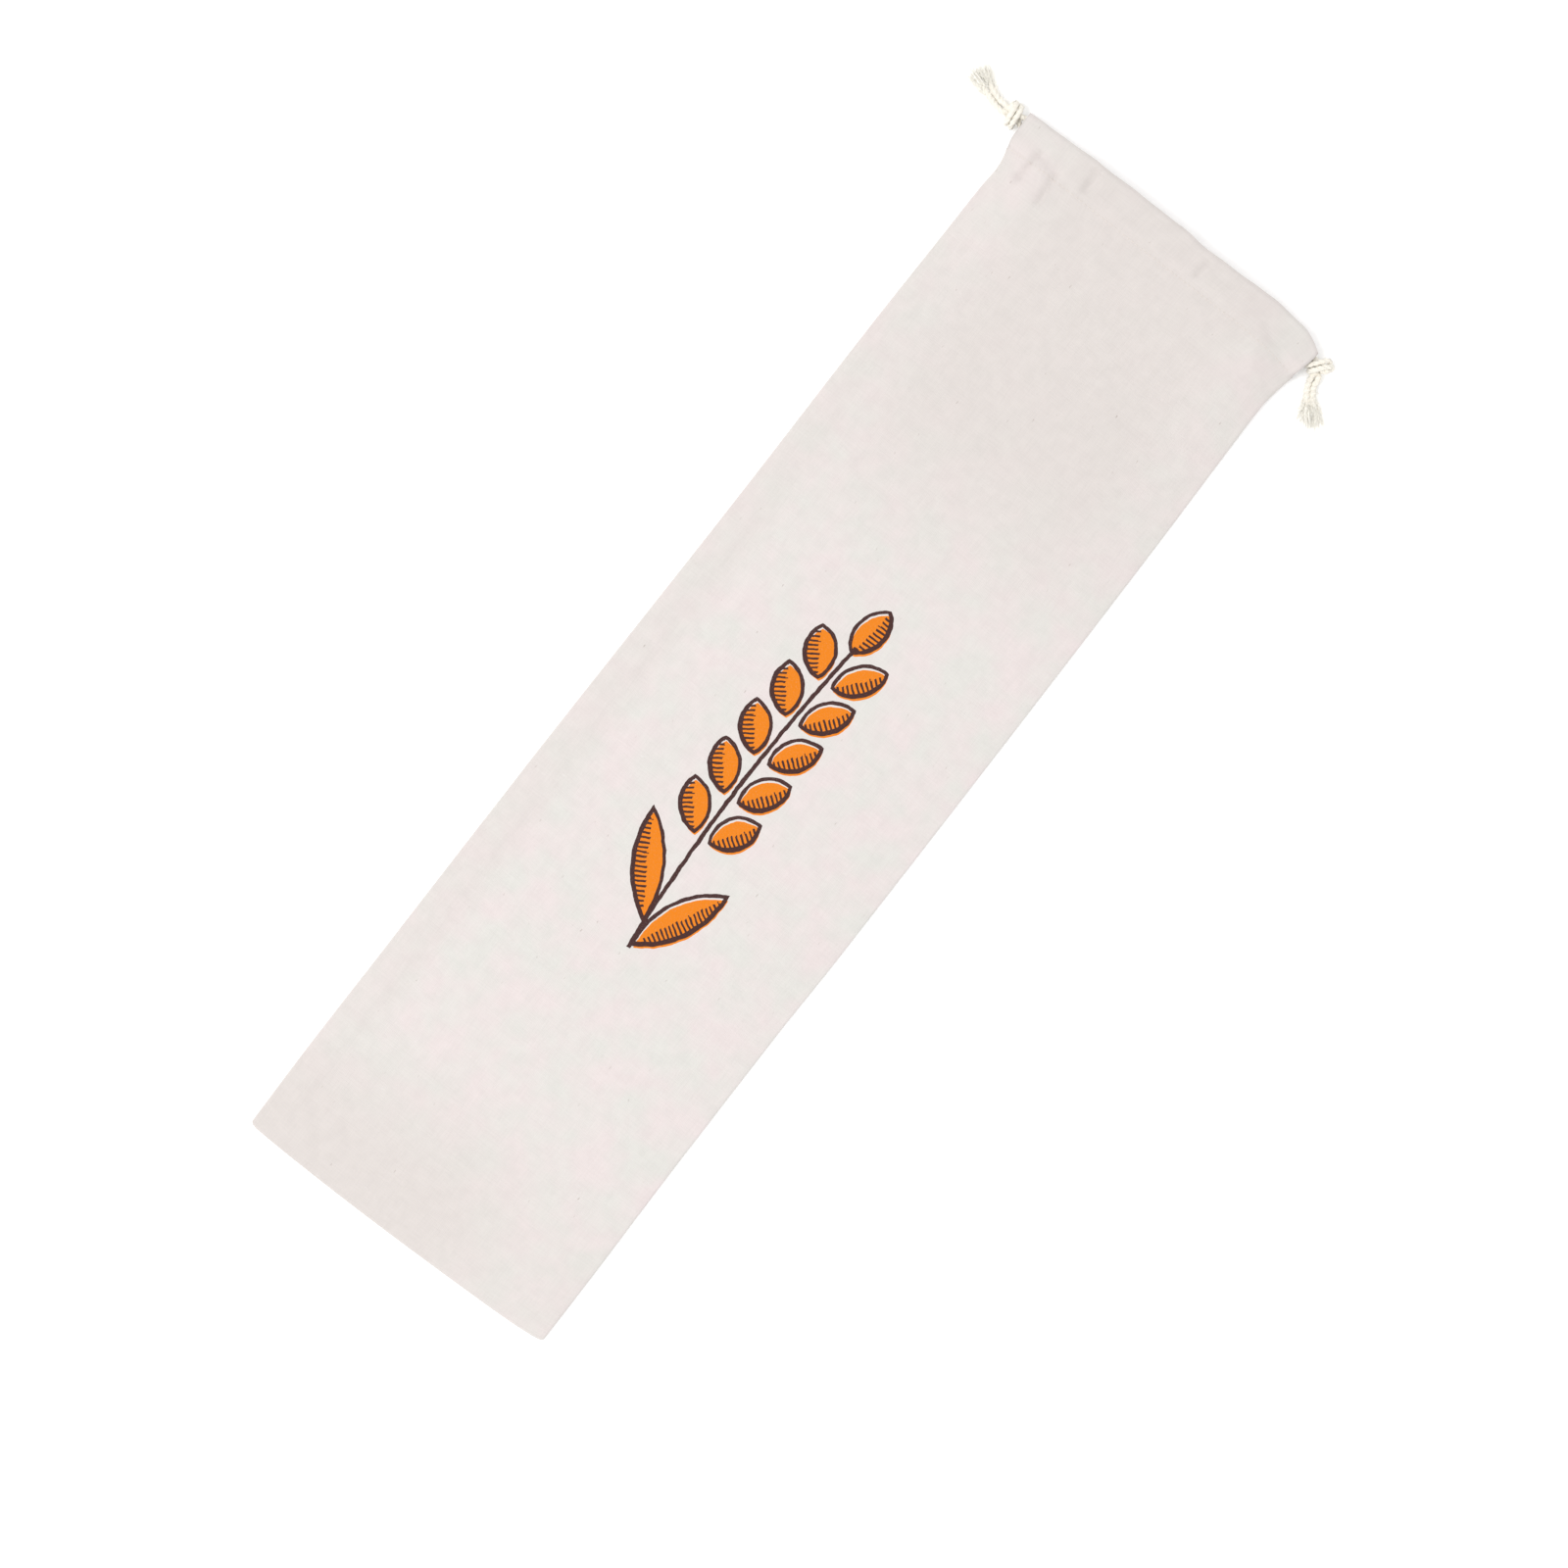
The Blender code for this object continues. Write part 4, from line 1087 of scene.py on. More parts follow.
class BagCloth:
    """The one folded and sewn cloth: both panels, the bottom fold, the side seams and the hems."""

    def __init__(self, form: BagForm) -> None:
        """Keep the form."""
        self.form = form

    def surface(self) -> bmesh.types.BMesh:
        """Return the middle surface with its map, whose unit is a metre of cloth."""
        form = self.form
        work = bmesh.new()
        chart = work.loops.layers.uv.new("weave")

        def face(corners: Sequence[bmesh.types.BMVert], spots: Sequence[tuple[float, float]]) -> None:
            """Add a face with its places on the map."""
            kept = list(dict.fromkeys(corners))
            made = work.faces.new(kept)
            for loop in made.loops:
                u, v = spots[list(corners).index(loop.vert)]
                loop[chart].uv = (u * MM, v * MM)

        strips = [form.strip(column) for column in form.columns]
        grid = [[work.verts.new(point * MM) for point in points] for points in strips]
        along = form.strip_lengths(strips[len(strips) // 2])
        hem_rows = len(form.hem_shares)
        short_rows = hem_rows - 1 + form.size.fold_steps // 2
        last = len(grid[0]) - 1
        for i, (column, beside) in enumerate(zip(form.columns, form.columns[1:])):
            cut_short = max(abs(column), abs(beside)) > form.size.hem_end_column
            for j in range(last):
                past_top_edge = j < short_rows or j >= last - short_rows
                if cut_short and past_top_edge:
                    continue
                corners = (grid[i][j], grid[i + 1][j], grid[i + 1][j + 1], grid[i][j + 1])
                low, high = along[j], along[j + 1]
                face(corners, ((column, low), (beside, low), (beside, high), (column, high)))
        loose = [vert for vert in work.verts if not vert.link_faces]
        self.join_sides(grid, face, work)
        bmesh.ops.delete(work, geom=loose, context="VERTS")
        bmesh.ops.recalc_face_normals(work, faces=work.faces)
        return work

    def join_sides(self, grid: list[list[bmesh.types.BMVert]], face: Any, work: bmesh.types.BMesh) -> None:
        """Join the front to the back by a round edge along both sides.

        Args:
            grid: The strip's vertices, by column and row.
            face: The function that adds a mapped face.
            work: The mesh that gets the edge.
        """
        form = self.form
        steps = form.size.fold_steps
        back_end = form.back_start + len(form.rows) - 1
        front_end = back_end + steps + len(form.rows) - 1
        for column, side in ((grid[0], form.columns[0]), (grid[-1], form.columns[-1])):
            rings = []
            for k, nominal_y in enumerate(form.rows):
                middle = [work.verts.new(point * MM) for point in form.side_ring(side, nominal_y)]
                rings.append([column[form.back_start + k], *middle, column[front_end - k]])
            rings.append([column[back_end + step] for step in range(steps + 1)])
            rows = [*form.rows, form.rows[-1] - 1.0]
            for k, (upper, lower) in enumerate(zip(rings, rings[1:])):
                arc = math.pi * form.fold_radius(rows[k]) / steps
                for n in range(steps):
                    out = [math.copysign(abs(side) + arc * (steps - m), side) for m in (n, n + 1)]
                    corners = (upper[n], lower[n], lower[n + 1], upper[n + 1])
                    high, low = rows[k], rows[k + 1]
                    face(corners, ((out[0], high), (out[0], low), (out[1], low), (out[1], high)))

    def build(self, material: bpy.types.Material) -> bpy.types.Object:
        """Return the finished cloth, which stands for its solid."""
        size = self.form.size
        obj = place("bag_cloth_woven", mesh_from(self.surface(), "bag_cloth_woven"), material)
        wall = obj.modifiers.new("Cloth", "SOLIDIFY")
        wall.thickness = size.thick * MM
        wall.offset = 0.0
        wall.use_even_offset = True
        applied(obj)
        self.mark_ink(obj.data)
        to_back_hem = abs(self.form.strip_lengths(self.form.strip(0.0))[0])
        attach(obj, "root")
        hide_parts("bag_cloth")
        return obj

    def mark_ink(self, mesh: bpy.types.Mesh) -> None:
        """Mark the outer face of the front panel, which alone takes the print."""
        layer = mesh.attributes.new("ink", "FLOAT", "FACE")
        chart = mesh.uv_layers["weave"].uv
        low, high = self.form.size.last_row * MM, self.form.size.stitch_y * MM
        for polygon in mesh.polygons:
            v = chart[polygon.loop_start].vector.y
            outer = polygon.normal.z > 0.5
            layer.data[polygon.index].value = 1.0 if outer and low < v < high else 0.0


class TailPoint(NamedTuple):
    """A point of a cord's free end, measured from the surface under its knot's middle."""

    x: float
    y: float
    z: float


class KnotPoint(NamedTuple):
    """A point of a strand in a knot: along the knot's line, beside it and above its middle."""

    along: float
    beside: float
    above: float
    from_band: bool


@dataclass(frozen=True)
class CordSizes:
    """The cords' and knots' sizes in millimetres."""

    diameter: float = 3.5
    room: float = 0.3
    upper_lane: float = 0.94
    lower_lane: float = 0.39
    bight_inside: float = 0.3
    lane_outside: float = 6.4
    bight_steps: int = 6
    knot_height: float = 5.3
    knot_half_length: float = 5.5
    spread_y: float = 2.2
    spread_z: float = 1.5
    straight: float = 1.6
    band_apart: float = 3.4
    step: float = 1.1
    twist_pitch: float = 9.5
    ply_radius: float = 1.13
    ply_out: float = 0.62
    loosened: float = 0.3
    loosened_reach: float = 24.0
    cut_share: float = 0.4
    cut_reach: float = 6.0
    points_round: int = 18
    inside_share: float = 0.8
    near_knot: float = 1.3
    strands_apart: float = 1.4
    strands_lift: float = 0.45
    length: float = 540.0
    lowest: float = 0.02


LANE_STATIONS = (-76.0, -66.0, -57.0, -49.0, -40.0, -24.0, -8.0, 8.0, 24.0, 40.0, 49.0, 57.0, 66.0, 76.0)

# A strand goes in under the band, turns back over the knot's outer side, crosses over the top as one half
# of the band, passes below everything and leaves outward.
KNOT_RUN = (
    KnotPoint(-2.0, 1.6, 0.7, False),
    KnotPoint(2.2, 1.9, 0.6, False),
    KnotPoint(4.1, 4.0, 0.5, False),
    KnotPoint(1.7, 6.1, 1.0, True),
    KnotPoint(0.7, 5.0, 2.9, True),
    KnotPoint(0.2, 2.4, 3.5, True),
    KnotPoint(0.0, 0.0, 3.6, True),
    KnotPoint(-0.2, -2.4, 3.5, True),
    KnotPoint(-0.5, -5.0, 2.7, True),
    KnotPoint(-0.6, -6.1, 0.2, True),
    KnotPoint(-0.3, -4.9, -2.4, True),
    KnotPoint(0.3, -2.2, -3.4, True),
    KnotPoint(2.8, -0.4, -2.2, False),
)


@dataclass(frozen=True)
class KnotPlace:
    """Where a knot lies, the way it points, and its two tails."""

    end: End
    x: float
    y: float
    turn: float
    front_lane: float
    tails: tuple[tuple[TailPoint, ...], tuple[TailPoint, ...]]


KNOTS = (
    KnotPlace(
        End.LEFT,
        -106.9,
        340.8,
        180.0,
        0.94,
        (
            (
                TailPoint(-6.5, -1.8, 4.4),
                TailPoint(-11.0, -1.3, 2.7),
                TailPoint(-16.0, 0.2, 2.0),
                TailPoint(-21.0, 1.8, 2.0),
                TailPoint(-25.5, 3.4, 2.0),
            ),
            (
                TailPoint(-6.5, 1.8, 4.8),
                TailPoint(-10.5, 2.2, 2.9),
                TailPoint(-15.2, 3.6, 2.3),
                TailPoint(-20.0, 5.4, 2.2),
                TailPoint(-23.4, 7.1, 2.2),
            ),
        ),
    ),
    KnotPlace(
        End.RIGHT,
        109.0,
        334.6,
        -34.0,
        0.39,
        (
            (
                TailPoint(0.4, -6.0, 4.4),
                TailPoint(1.4, -10.6, 2.7),
                TailPoint(3.9, -15.2, 2.2),
                TailPoint(7.1, -19.6, 2.2),
                TailPoint(9.6, -22.8, 2.2),
            ),
            (
                TailPoint(3.8, -5.3, 4.8),
                TailPoint(4.7, -10.0, 2.9),
                TailPoint(7.1, -14.4, 2.3),
                TailPoint(10.5, -18.3, 2.2),
                TailPoint(13.7, -21.0, 2.2),
            ),
        ),
    ),
)


def smooth_points(route: Sequence[Vector], step: float) -> list[Vector]:
    """Return points about this far apart on a smooth curve through a route.

    Args:
        route: The points that the curve passes through.
        step: The distance between the points returned.

    Returns:
        The points, from the route's first to its last.
    """
    padded = [2 * route[0] - route[1], *route, 2 * route[-1] - route[-2]]
    points = [route[0]]
    for before, here, there, after in zip(padded, padded[1:], padded[2:], padded[3:]):
        reach = (there - here).length
        lean_in = (there - before) * reach / max((there - before).length, reach)
        lean_out = (after - here) * reach / max((after - here).length, reach)
        count = max(1, round(reach / step))
        for n in range(1, count + 1):
            t = n / count
            points.append(
                here * (1 + 2 * t) * (1 - t) ** 2
                + lean_in * t * (1 - t) ** 2
                + there * t * t * (3 - 2 * t)
                + lean_out * t * t * (t - 1)
            )
    return points


class Drawstring:
    """One cord: through both casings, round the far end, into its knot, and out as two tails."""

    def __init__(self, form: BagForm, size: CordSizes, knot: KnotPlace) -> None:
        """Keep the sizes and the knot, and work out the whole route."""
        self.form = form
        self.size = size
        self.knot = knot
        self.route, self.tail_starts = self.whole_route()

    def lane_point(self, x: float, lane: float, layer: Layer) -> Vector:
        """Return the middle of the cord's lane in a casing."""
        form = self.form
        hem = form.front_hem_height(x) if layer is Layer.FRONT else form.size.half_thick
        return Vector((x, form.casing_y(x, lane), hem + form.size.tunnel_height / 2))

    def hem_end_x(self, side: int, outside: float) -> float:
        """Return the x of a place this far outside the hems' ends."""
        column = side * self.form.size.hem_end_column
        return self.form.across(column, self.form.casing_y(column, 0.5)) + side * outside

    def bight(self, side: int, front_lane: float, back_lane: float) -> list[Vector]:
        """Return the cord's turn round the far end of the casings, from the front one to the back one."""
        start = self.lane_point(self.hem_end_x(side, -self.size.bight_inside), front_lane, Layer.FRONT)
        end = self.lane_point(self.hem_end_x(side, -self.size.bight_inside), back_lane, Layer.BACK)
        middle, arm = (start + end) / 2, (start - end) / 2
        out = Vector((side * arm.length, 0, 0))
        angles = [math.pi * step / self.size.bight_steps for step in range(self.size.bight_steps + 1)]
        return [middle + arm * math.cos(angle) + out * math.sin(angle) for angle in angles]

    def at_knot(self, along: float, beside: float, above: float) -> Vector:
        """Return a place given along, beside and above the knot's middle."""
        turn = math.radians(self.knot.turn)
        line = Vector((math.cos(turn), math.sin(turn), 0))
        aside = Vector((0, 1, 0)) if abs(line.x) > 0.99 else Vector((-line.y, line.x, 0))
        middle = Vector((self.knot.x, self.knot.y, self.size.knot_height))
        return middle + line * along + aside * beside + Vector((0, 0, above))

    def in_knot(self, layer: Layer, aside: float) -> list[Vector]:
        """Return a strand's way through the knot, from the bag's side to the start of its tail."""
        size = self.size
        band = (size.band_apart / 2) * (1 if layer is Layer.FRONT else -1)
        lift = layer.value * size.spread_z
        reach = -size.knot_half_length - size.room
        points = [self.at_knot(reach - size.straight, aside, lift), self.at_knot(reach, aside, lift)]
        for point in KNOT_RUN:
            shift = band if point.from_band else 0.0
            beside = point.beside if point.from_band or aside > 0 else point.beside - size.strands_apart
            above = point.above + (0.0 if point.from_band else size.strands_lift * lift)
            points.append(self.at_knot(point.along + shift, beside, above))
        return points

    def whole_route(self) -> tuple[list[Vector], tuple[Vector, Vector]]:
        """Return the cord's points from one tail's end to the other's, and the two tails' starts."""
        size, knot = self.size, self.knot
        side = knot.end.value
        back_lane = size.upper_lane + size.lower_lane - knot.front_lane
        stations = [self.hem_end_x(side, size.lane_outside), self.hem_end_x(side, -size.lane_outside)]
        stations += sorted(LANE_STATIONS, reverse=side > 0)
        ends = []
        for layer, lane, tail in (
            (Layer.FRONT, knot.front_lane, knot.tails[0]),
            (Layer.BACK, back_lane, knot.tails[1]),
        ):
            aside = size.spread_y if lane == size.upper_lane else -size.spread_y
            free = [Vector((knot.x + point.x, knot.y + point.y, point.z)) for point in tail]
            ends.append((self.in_knot(layer, aside), free))
        front_run = [self.lane_point(x, knot.front_lane, Layer.FRONT) for x in stations]
        back_run = [self.lane_point(x, back_lane, Layer.BACK) for x in reversed(stations)]
        bight = self.bight(-side, knot.front_lane, back_lane)
        route = list(reversed(ends[0][1])) + list(reversed(ends[0][0]))
        route += front_run + bight + back_run + ends[1][0] + ends[1][1]
        return route, (ends[0][1][0], ends[1][1][0])

    def section(self, scale: float, turn: float) -> list[tuple[float, float]]:
        """Return the outline of three plies laid together, turned by an angle."""
        size = self.size
        outline = []
        for n in range(size.points_round):
            angle = 2 * math.pi * n / size.points_round
            from_ply = (angle + math.pi / 3) % (2 * math.pi / 3) - math.pi / 3
            across = size.ply_out * math.sin(from_ply)
            radius = size.ply_out * math.cos(from_ply) + math.sqrt(size.ply_radius**2 - across**2)
            reach = radius * scale
            outline.append((reach * math.cos(angle + turn), reach * math.sin(angle + turn)))
        return outline

    def build(self, material: bpy.types.Material) -> tuple[bpy.types.Object, list[Vector]]:
        """Return the cord as a closed tube of three twisted plies, and the points that it follows."""
        size = self.size
        points = smooth_points(self.route, size.step)
        middle = Vector((self.knot.x, self.knot.y, size.knot_height))
        work = bmesh.new()
        chart = work.loops.layers.uv.new("weave")
        normal = Vector((0, 0, 1))
        total = sum((there - here).length for here, there in zip(points, points[1:]))
        rings, lengths, along = [], [], 0.0
        for n, point in enumerate(points):
            ahead, behind = points[min(n + 1, len(points) - 1)], points[max(n - 1, 0)]
            tangent = (ahead - behind).normalized()
            normal = (normal - tangent * normal.dot(tangent)).normalized()
            aside = tangent.cross(normal)
            along += (point - points[max(n - 1, 0)]).length
            near = ease((point - middle).length / (size.diameter * size.near_knot))
            to_end = min(along, total - along)
            scale = size.inside_share + (1 - size.inside_share) * near
            scale += size.loosened * (1 - ease(to_end / size.loosened_reach)) * near
            scale *= size.cut_share + (1 - size.cut_share) * ease(to_end / size.cut_reach)
            turn = 2 * math.pi * along / size.twist_pitch
            outline = self.section(scale, turn)
            around = [point + normal * a + aside * b for a, b in outline]
            rings.append([work.verts.new((p.x * MM, p.y * MM, max(p.z, size.lowest) * MM)) for p in around])
            lengths.append(along)
        self.skin(work, chart, rings, lengths)
        name = f"cotton_cord_{self.knot.end.name.lower()}"
        bmesh.ops.recalc_face_normals(work, faces=work.faces)
        obj = place(name, mesh_from(work, name), material)
        return obj, points

    def skin(
        self,
        work: bmesh.types.BMesh,
        chart: bmesh.types.BMLayerItem,
        rings: list[list[bmesh.types.BMVert]],
        lengths: list[float],
    ) -> None:
        """Join a tube's rings with faces on the map, and close its two ends."""
        count = self.size.points_round
        for upper, lower, high, low in zip(rings, rings[1:], lengths, lengths[1:]):
            for n in range(count):
                m = (n + 1) % count
                made = work.faces.new((upper[n], upper[m], lower[m], lower[n]))
                spots = ((n, high), (n + 1, high), (n + 1, low), (n, low))
                for loop, (u, v) in zip(made.loops, spots):
                    loop[chart].uv = (u * self.size.diameter * math.pi / count * MM, v * MM)
        for ring in (rings[0], rings[-1]):
            work.faces.new(ring)

    def declare(self, obj: bpy.types.Object) -> None:
        """Attach the cord to the root and hide the frame's drawstring and knot at its end."""
        size, knot = self.size, self.knot
        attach(obj, "root")
        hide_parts(f"drawstring_{knot.end.name.lower()}", f"knot_{knot.end.name.lower()}")


@dataclass(frozen=True)
class FrayKind:
    """One kind of loose fibre at a cord's cut end: its count and its sizes in millimetres."""

    count: int
    back: float
    length: float
    thick: float
    spread: float
    root: float
    curl: float
    seed: int


class FrayedEnds:
    """The loosened plies and fibres at the ends of a cord's two tails."""

    KINDS = (
        FrayKind(28, 7.7, 13.0, 0.5, 21.0, 1.3, 4.6, 3),
        FrayKind(200, 8.8, 13.0, 0.2, 31.0, 1.6, 6.5, 11),
        FrayKind(180, 9.9, 11.5, 0.1, 44.0, 1.8, 7.5, 29),
        FrayKind(240, 25.3, 5.0, 0.1, 62.0, 2.0, 4.6, 41),
    )

    POINTS_LONG = 9
    POINTS_ROUND = 5
    SWIRL_SCALE = 190.0
    OWN_SWIRL = 0.37
    SAG = 0.0032
    TAPER = 0.75
    SHORTEST = 0.55

    def __init__(self, string: Drawstring) -> None:
        """Keep the cord."""
        self.string = string

    def last_stretches(self, points: Sequence[Vector], back: float) -> bpy.types.Mesh:
        """Return a mesh of two lines: each tail from this far back to its end."""
        mesh = bpy.data.meshes.new("tail_ends")
        count = round(back / self.string.size.step)
        lines = [list(reversed(points[: count + 1])), list(points[-count - 1 :])]
        vertices = [tuple(point * MM) for line in lines for point in line]
        edges = [(n, n + 1) for n in range(count)]
        edges += [(n + count + 1, n + count + 2) for n in range(count)]
        mesh.from_pydata(vertices, edges, [])
        return mesh

    def tree(self) -> bpy.types.NodeTree:
        """Return the node tree that grows curling fibres from the lines it is given."""
        sizes = ("Length", "Thickness", "Spread", "Root Radius", "Curl")
        tree, given = group(
            "frayed_fibres",
            {"Count": "Int", **dict.fromkeys(sizes, "Float"), "Seed": "Int", "Material": "Material"},
        )
        lines = add_node(tree, "GeometryNodeMeshToCurve", (given["Line"],))
        spots = add_node(
            tree, "GeometryNodeResampleCurve", {"Curve": lines, "Count": given["Count"]}, mode="COUNT"
        )
        tangent = add_node(tree, "GeometryNodeInputTangent")
        facing = add_node(
            tree, "FunctionNodeAlignRotationToVector", {"Vector": tangent}, axis="X"
        )
        seeds = [
            add_node(tree, MATH, (given["Seed"], float(n)), operation="ADD") for n in range(3)
        ]
        flat = add_node(tree, "ShaderNodeCombineXYZ", (0.0, given["Spread"], given["Spread"]))
        against = add_node(tree, VECTOR_MATH, {0: flat, "Scale": -1.0}, operation="SCALE")
        lean = add_node(
            tree,
            "FunctionNodeRandomValue",
            {0: against, 1: flat, "Seed": seeds[0]},
            data_type="FLOAT_VECTOR",
        )
        lean = add_node(tree, "FunctionNodeEulerToRotation", (lean,))
        turned = add_node(tree, "FunctionNodeRotateRotation", (facing, lean), rotation_space="LOCAL")
        size = add_node(
            tree, "FunctionNodeRandomValue", {2: self.SHORTEST, 3: 1.0, "Seed": seeds[1]}, data_type="FLOAT"
        )
        root = add_node(
            tree,
            "FunctionNodeRandomValue",
            {0: (-1.0, -1.0, -1.0), 1: (1.0, 1.0, 1.0), "Seed": seeds[2]},
            data_type="FLOAT_VECTOR",
        )
        root = add_node(tree, VECTOR_MATH, {0: root, "Scale": given["Root Radius"]}, operation="SCALE")
        end = add_node(tree, "ShaderNodeCombineXYZ", (given["Length"],))
        fibre = add_node(tree, "GeometryNodeCurvePrimitiveLine", {"End": end})
        fibre = add_node(
            tree, "GeometryNodeResampleCurve", {"Curve": fibre, "Count": self.POINTS_LONG}, mode="COUNT"
        )
        fibres = add_node(
            tree,
            "GeometryNodeInstanceOnPoints",
            {"Points": spots, "Instance": fibre, "Rotation": turned, "Scale": size.outputs[1]},
        )
        fibres = add_node(
            tree, "GeometryNodeTranslateInstances", {"Instances": fibres, "Translation": root}
        )
        fibres = add_node(tree, "GeometryNodeRealizeInstances", (fibres,))
        fibres = self.curled(tree, given, fibres)
        out = add_node(tree, "GeometryNodeRealizeInstances", (fibres,))
        out = add_node(tree, "GeometryNodeSetMaterial", {"Geometry": out, "Material": given["Material"]})
        add_node(tree, "NodeGroupOutput", (out,))
        return tree

    def curled(self, tree: bpy.types.NodeTree, given: Any, fibres: bpy.types.Node) -> bpy.types.Node:
        """Return the fibres curled, laid on the surface and given a tapering round body."""
        share = add_node(tree, "GeometryNodeSplineParameter").outputs["Factor"]
        where = add_node(tree, "GeometryNodeInputPosition")
        index = add_node(tree, "GeometryNodeInputNamedAttribute", {"Name": "id"}, data_type="INT")
        own = add_node(tree, MATH, (index.outputs[0], self.OWN_SWIRL), operation="MULTIPLY")
        swirl = add_node(
            tree,
            NOISE,
            {"Vector": where, "W": own, "Scale": self.SWIRL_SCALE, "Detail": 1.0},
            noise_dimensions="4D",
        )
        swirl = add_node(tree, VECTOR_MATH, (swirl.outputs["Color"], (0.5, 0.5, 0.5)), operation="SUBTRACT")
        amount = add_node(tree, MATH, (given["Curl"], share), operation="MULTIPLY")
        swirl = add_node(tree, VECTOR_MATH, {0: swirl, "Scale": amount}, operation="SCALE")
        fibres = add_node(tree, "GeometryNodeSetPosition", {"Geometry": fibres, "Offset": swirl})
        split = add_node(tree, "ShaderNodeSeparateXYZ", (where,))
        sunk = add_node(tree, MATH, (share, -self.SAG, split.outputs["Z"]), operation="MULTIPLY_ADD")
        low = add_node(tree, MATH, (sunk, given["Thickness"]), operation="MAXIMUM")
        laid = add_node(
            tree, "ShaderNodeCombineXYZ", (split.outputs["X"], split.outputs["Y"], low)
        )
        fibres = add_node(tree, "GeometryNodeSetPosition", {"Geometry": fibres, "Position": laid})
        taper = add_node(tree, MATH, (share, -self.TAPER, 1.0), operation="MULTIPLY_ADD")
        radius = add_node(tree, MATH, (taper, given["Thickness"]), operation="MULTIPLY")
        ring = add_node(
            tree, "GeometryNodeCurvePrimitiveCircle", {"Resolution": self.POINTS_ROUND, "Radius": 1.0}
        )
        return add_node(
            tree,
            "GeometryNodeCurveToMesh",
            {"Curve": fibres, "Profile Curve": ring, "Scale": radius, "Fill Caps": True},
        )

    def build(self, points: Sequence[Vector], material: bpy.types.Material) -> bpy.types.Object:
        """Return both frayed ends as one plain mesh."""
        name = f"frayed_ends_{self.string.knot.end.name.lower()}"
        tree = self.tree()
        locks = []
        for kind in self.KINDS:
            values = {
                "Count": kind.count,
                "Length": kind.length * MM,
                "Thickness": kind.thick * MM,
                "Spread": math.radians(kind.spread),
                "Root Radius": kind.root * MM,
                "Curl": kind.curl * MM,
                "Seed": kind.seed,
                "Material": material,
            }
            locks.append(grown(tree, self.last_stretches(points, kind.back), values))
        made = place(name, joined(name, locks), material)
        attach(made, "root")
        return made


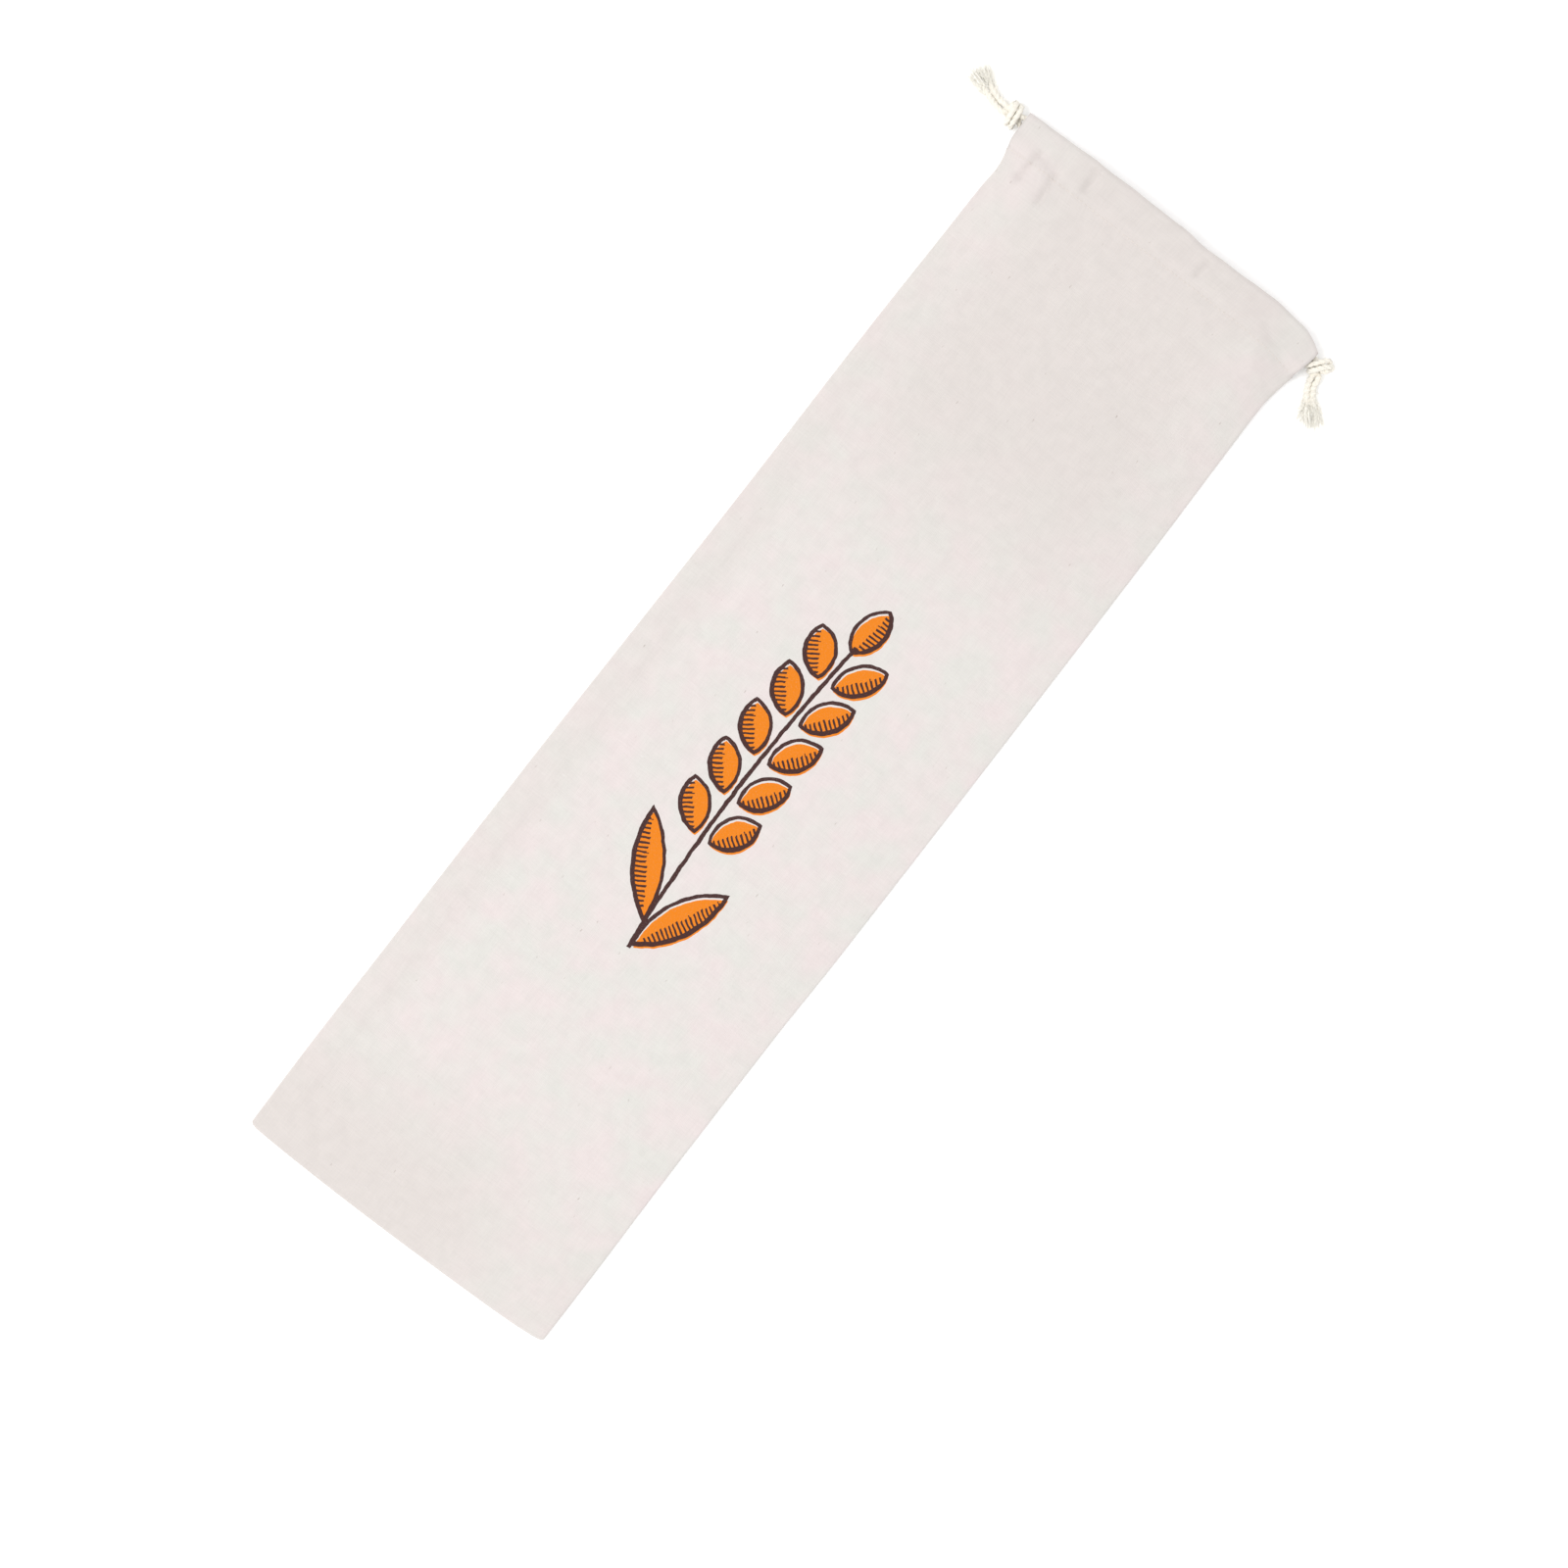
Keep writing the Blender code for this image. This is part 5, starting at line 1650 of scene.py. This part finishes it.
class Stitching:
    """The rows of machine stitches that close the two casings."""

    LENGTH = 2.4
    PITCH = 3.0
    THICK = 0.26
    END_X = 96.0
    SAMPLES = 160
    DIP = 1.3
    RISE = 2.1
    SLANT = 0.07

    def __init__(self, form: BagForm) -> None:
        """Keep the cloth's form."""
        self.form = form

    def tree(self) -> bpy.types.NodeTree:
        """Return the node tree that sews stitches along the lines it is given."""
        sizes = ("Pitch", "Stitch Length", "Thickness", "Roll")
        tree, given = group(
            "machine_stitches", {**dict.fromkeys(sizes, "Float"), "Seed": "Int", "Material": "Material"}
        )
        seam = add_node(tree, "GeometryNodeMeshToCurve", (given["Line"],))
        spots = add_node(
            tree, "GeometryNodeResampleCurve", {"Curve": seam, "Length": given["Pitch"]}, mode="LENGTH"
        )
        half = add_node(tree, MATH, (given["Stitch Length"], 0.5), operation="MULTIPLY")
        back = add_node(tree, MATH, (half, -1.0), operation="MULTIPLY")
        dip = add_node(tree, MATH, (given["Thickness"], -self.DIP), operation="MULTIPLY")
        rise = add_node(tree, MATH, (given["Thickness"], self.RISE), operation="MULTIPLY")
        start = add_node(tree, "ShaderNodeCombineXYZ", (back, 0.0, dip))
        middle = add_node(tree, "ShaderNodeCombineXYZ", (0.0, 0.0, rise))
        end = add_node(tree, "ShaderNodeCombineXYZ", (half, 0.0, dip))
        arc = add_node(
            tree,
            "GeometryNodeCurveQuadraticBezier",
            {"Resolution": 6, "Start": start, "Middle": middle, "End": end},
        )
        ring = add_node(
            tree, "GeometryNodeCurvePrimitiveCircle", {"Resolution": 6, "Radius": given["Thickness"]}
        )
        stitch = add_node(
            tree, "GeometryNodeCurveToMesh", {"Curve": arc, "Profile Curve": ring, "Fill Caps": True}
        )
        tangent = add_node(tree, "GeometryNodeInputTangent")
        facing = add_node(tree, "FunctionNodeAlignRotationToVector", {"Vector": tangent}, axis="X")
        ends = [
            add_node(tree, "ShaderNodeCombineXYZ", (given["Roll"], 0.0, lean))
            for lean in (-self.SLANT, self.SLANT)
        ]
        slant = add_node(
            tree,
            "FunctionNodeRandomValue",
            {0: ends[0], 1: ends[1], "Seed": given["Seed"]},
            data_type="FLOAT_VECTOR",
        )
        slant = add_node(tree, "FunctionNodeEulerToRotation", (slant,))
        turned = add_node(tree, "FunctionNodeRotateRotation", (facing, slant), rotation_space="LOCAL")
        sewn = add_node(
            tree, "GeometryNodeInstanceOnPoints", {"Points": spots, "Instance": stitch, "Rotation": turned}
        )
        out = add_node(tree, "GeometryNodeRealizeInstances", (sewn,))
        out = add_node(tree, "GeometryNodeSetMaterial", {"Geometry": out, "Material": given["Material"]})
        add_node(tree, "NodeGroupOutput", (out,))
        return tree

    def seam(self, layer: Layer) -> bpy.types.Mesh:
        """Return the line that a casing's stitches follow, on the cloth's outer face."""
        form = self.form
        lift = form.size.half_thick
        points = []
        for n in range(self.SAMPLES + 1):
            x = self.END_X * (2 * n / self.SAMPLES - 1)
            y = read(STITCH_LINE, "y", x)
            front = layer is Layer.FRONT
            height = form.stitch_height(x) + lift if front else form.back_height(x, y) - lift
            points.append(Vector((x, y, height)))
        mesh = bpy.data.meshes.new("casing_seam")
        edges = [(n, n + 1) for n in range(self.SAMPLES)]
        mesh.from_pydata([tuple(point * MM) for point in points], edges, [])
        return mesh

    def build(self, material: bpy.types.Material) -> bpy.types.Object:
        """Return both rows as one plain mesh."""
        tree = self.tree()
        rows = []
        for layer, roll, seed in ((Layer.FRONT, 0.0, 5), (Layer.BACK, math.pi, 8)):
            values = {
                "Pitch": self.PITCH * MM,
                "Stitch Length": self.LENGTH * MM,
                "Thickness": self.THICK * MM,
                "Roll": roll,
                "Seed": seed,
                "Material": material,
            }
            rows.append(grown(tree, self.seam(layer), values))
        obj = place("casing_stitches", joined("casing_stitches", rows), material)
        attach(obj, "root")
        return obj


@dataclass(frozen=True)
class Studio:
    """A white table, soft light from above and a camera that looks straight down on the bag."""

    turn: float = 37.75
    aim_x: float = 17.5
    aim_y: float = -25.5
    frame_wide: float = 860.0
    lens: float = 100.0
    sensor: float = 36.0
    floor_wide: float = 6000.0
    floor_glow: float = 0.18
    world_strength: float = 0.88
    key_power: float = 140.0
    key_wide: float = 2.6
    key_far: float = 6.0
    key_azimuth: float = 225.0
    key_elevation: float = 60.0

    def build(self) -> None:
        """Make the floor, the lights and the camera."""
        self.make_floor()
        self.make_light()
        self.make_camera()

    def make_floor(self) -> None:
        """Make the white surface that the bag lies on."""
        material = bpy.data.materials.new("white_table_top")
        material.use_nodes = True
        shader = material.node_tree.nodes["Principled BSDF"]
        shader.inputs["Base Color"].default_value = linear("#FAFAFA")
        shader.inputs["Roughness"].default_value = 0.9
        shader.inputs["Specular IOR Level"].default_value = 0.1
        shader.inputs["Emission Color"].default_value = (1.0, 1.0, 1.0, 1.0)
        shader.inputs["Emission Strength"].default_value = self.floor_glow
        work = bmesh.new()
        bmesh.ops.create_grid(work, x_segments=1, y_segments=1, size=self.floor_wide / 2 * MM)
        place("table_top", mesh_from(work, "table_top"), material)

    def make_light(self) -> None:
        """Make an even white surrounding and one large soft light."""
        world = bpy.data.worlds.new("white_studio")
        world.use_nodes = True
        background = world.node_tree.nodes["Background"]
        background.inputs["Color"].default_value = (1.0, 1.0, 1.0, 1.0)
        background.inputs["Strength"].default_value = self.world_strength
        bpy.context.scene.world = world
        lamp = bpy.data.lights.new("soft_box", "AREA")
        lamp.energy = self.key_power
        lamp.size = self.key_wide
        azimuth, elevation = math.radians(self.key_azimuth), math.radians(self.key_elevation)
        way = Vector(
            (
                math.cos(azimuth) * math.cos(elevation),
                math.sin(azimuth) * math.cos(elevation),
                math.sin(elevation),
            )
        )
        obj = bpy.data.objects.new("soft_box", lamp)
        obj.location = way * self.key_far
        obj.rotation_euler = way.to_track_quat("Z", "Y").to_euler()
        bpy.context.scene.collection.objects.link(obj)

    def make_camera(self) -> None:
        """Make the camera, whose picture is turned against the bag's own axes."""
        data = bpy.data.cameras.new("overhead")
        data.lens = self.lens
        data.sensor_width = self.sensor
        data.clip_end = 20.0
        height = self.lens / self.sensor * self.frame_wide * MM
        obj = bpy.data.objects.new("overhead", data)
        obj.matrix_world = Matrix.Translation((self.aim_x * MM, self.aim_y * MM, height)) @ Matrix.Rotation(
            math.radians(self.turn), 4, "Z"
        )
        bpy.context.scene.collection.objects.link(obj)
        bpy.context.scene.camera = obj


def main() -> None:
    """Build the bag and its studio."""
    logging.basicConfig(level=logging.INFO, format="%(message)s")
    bpy.context.scene.view_settings.view_transform = "Standard"
    Studio().build()
    cord_finish = CottonYarn("twisted_cotton_cord", "#FCF8EE", "#F3ECDE", 0.35, 5.0, 0.08).build()
    fibre_finish = CottonYarn("loose_cotton_fibres", "#FFFDF7", "#FAF6EA", 0.3, 4.0, 0.02).build()
    thread_finish = CottonYarn("cotton_sewing_thread", "#E3DBD5", "#D5CDC6", 0.2, 3.0, 0.04).build()
    form = BagForm(ClothSizes())
    for knot in KNOTS:
        string = Drawstring(form, CordSizes(), knot)
        cord, points = string.build(cord_finish)
        fray = FrayedEnds(string).build(points, fibre_finish)
        string.declare(cord)
        report(cord)
        report(fray)
    report(BagCloth(form).build(LinenCotton().build()))
    report(Stitching(form).build(thread_finish))


if __name__ == "__main__":
    main()
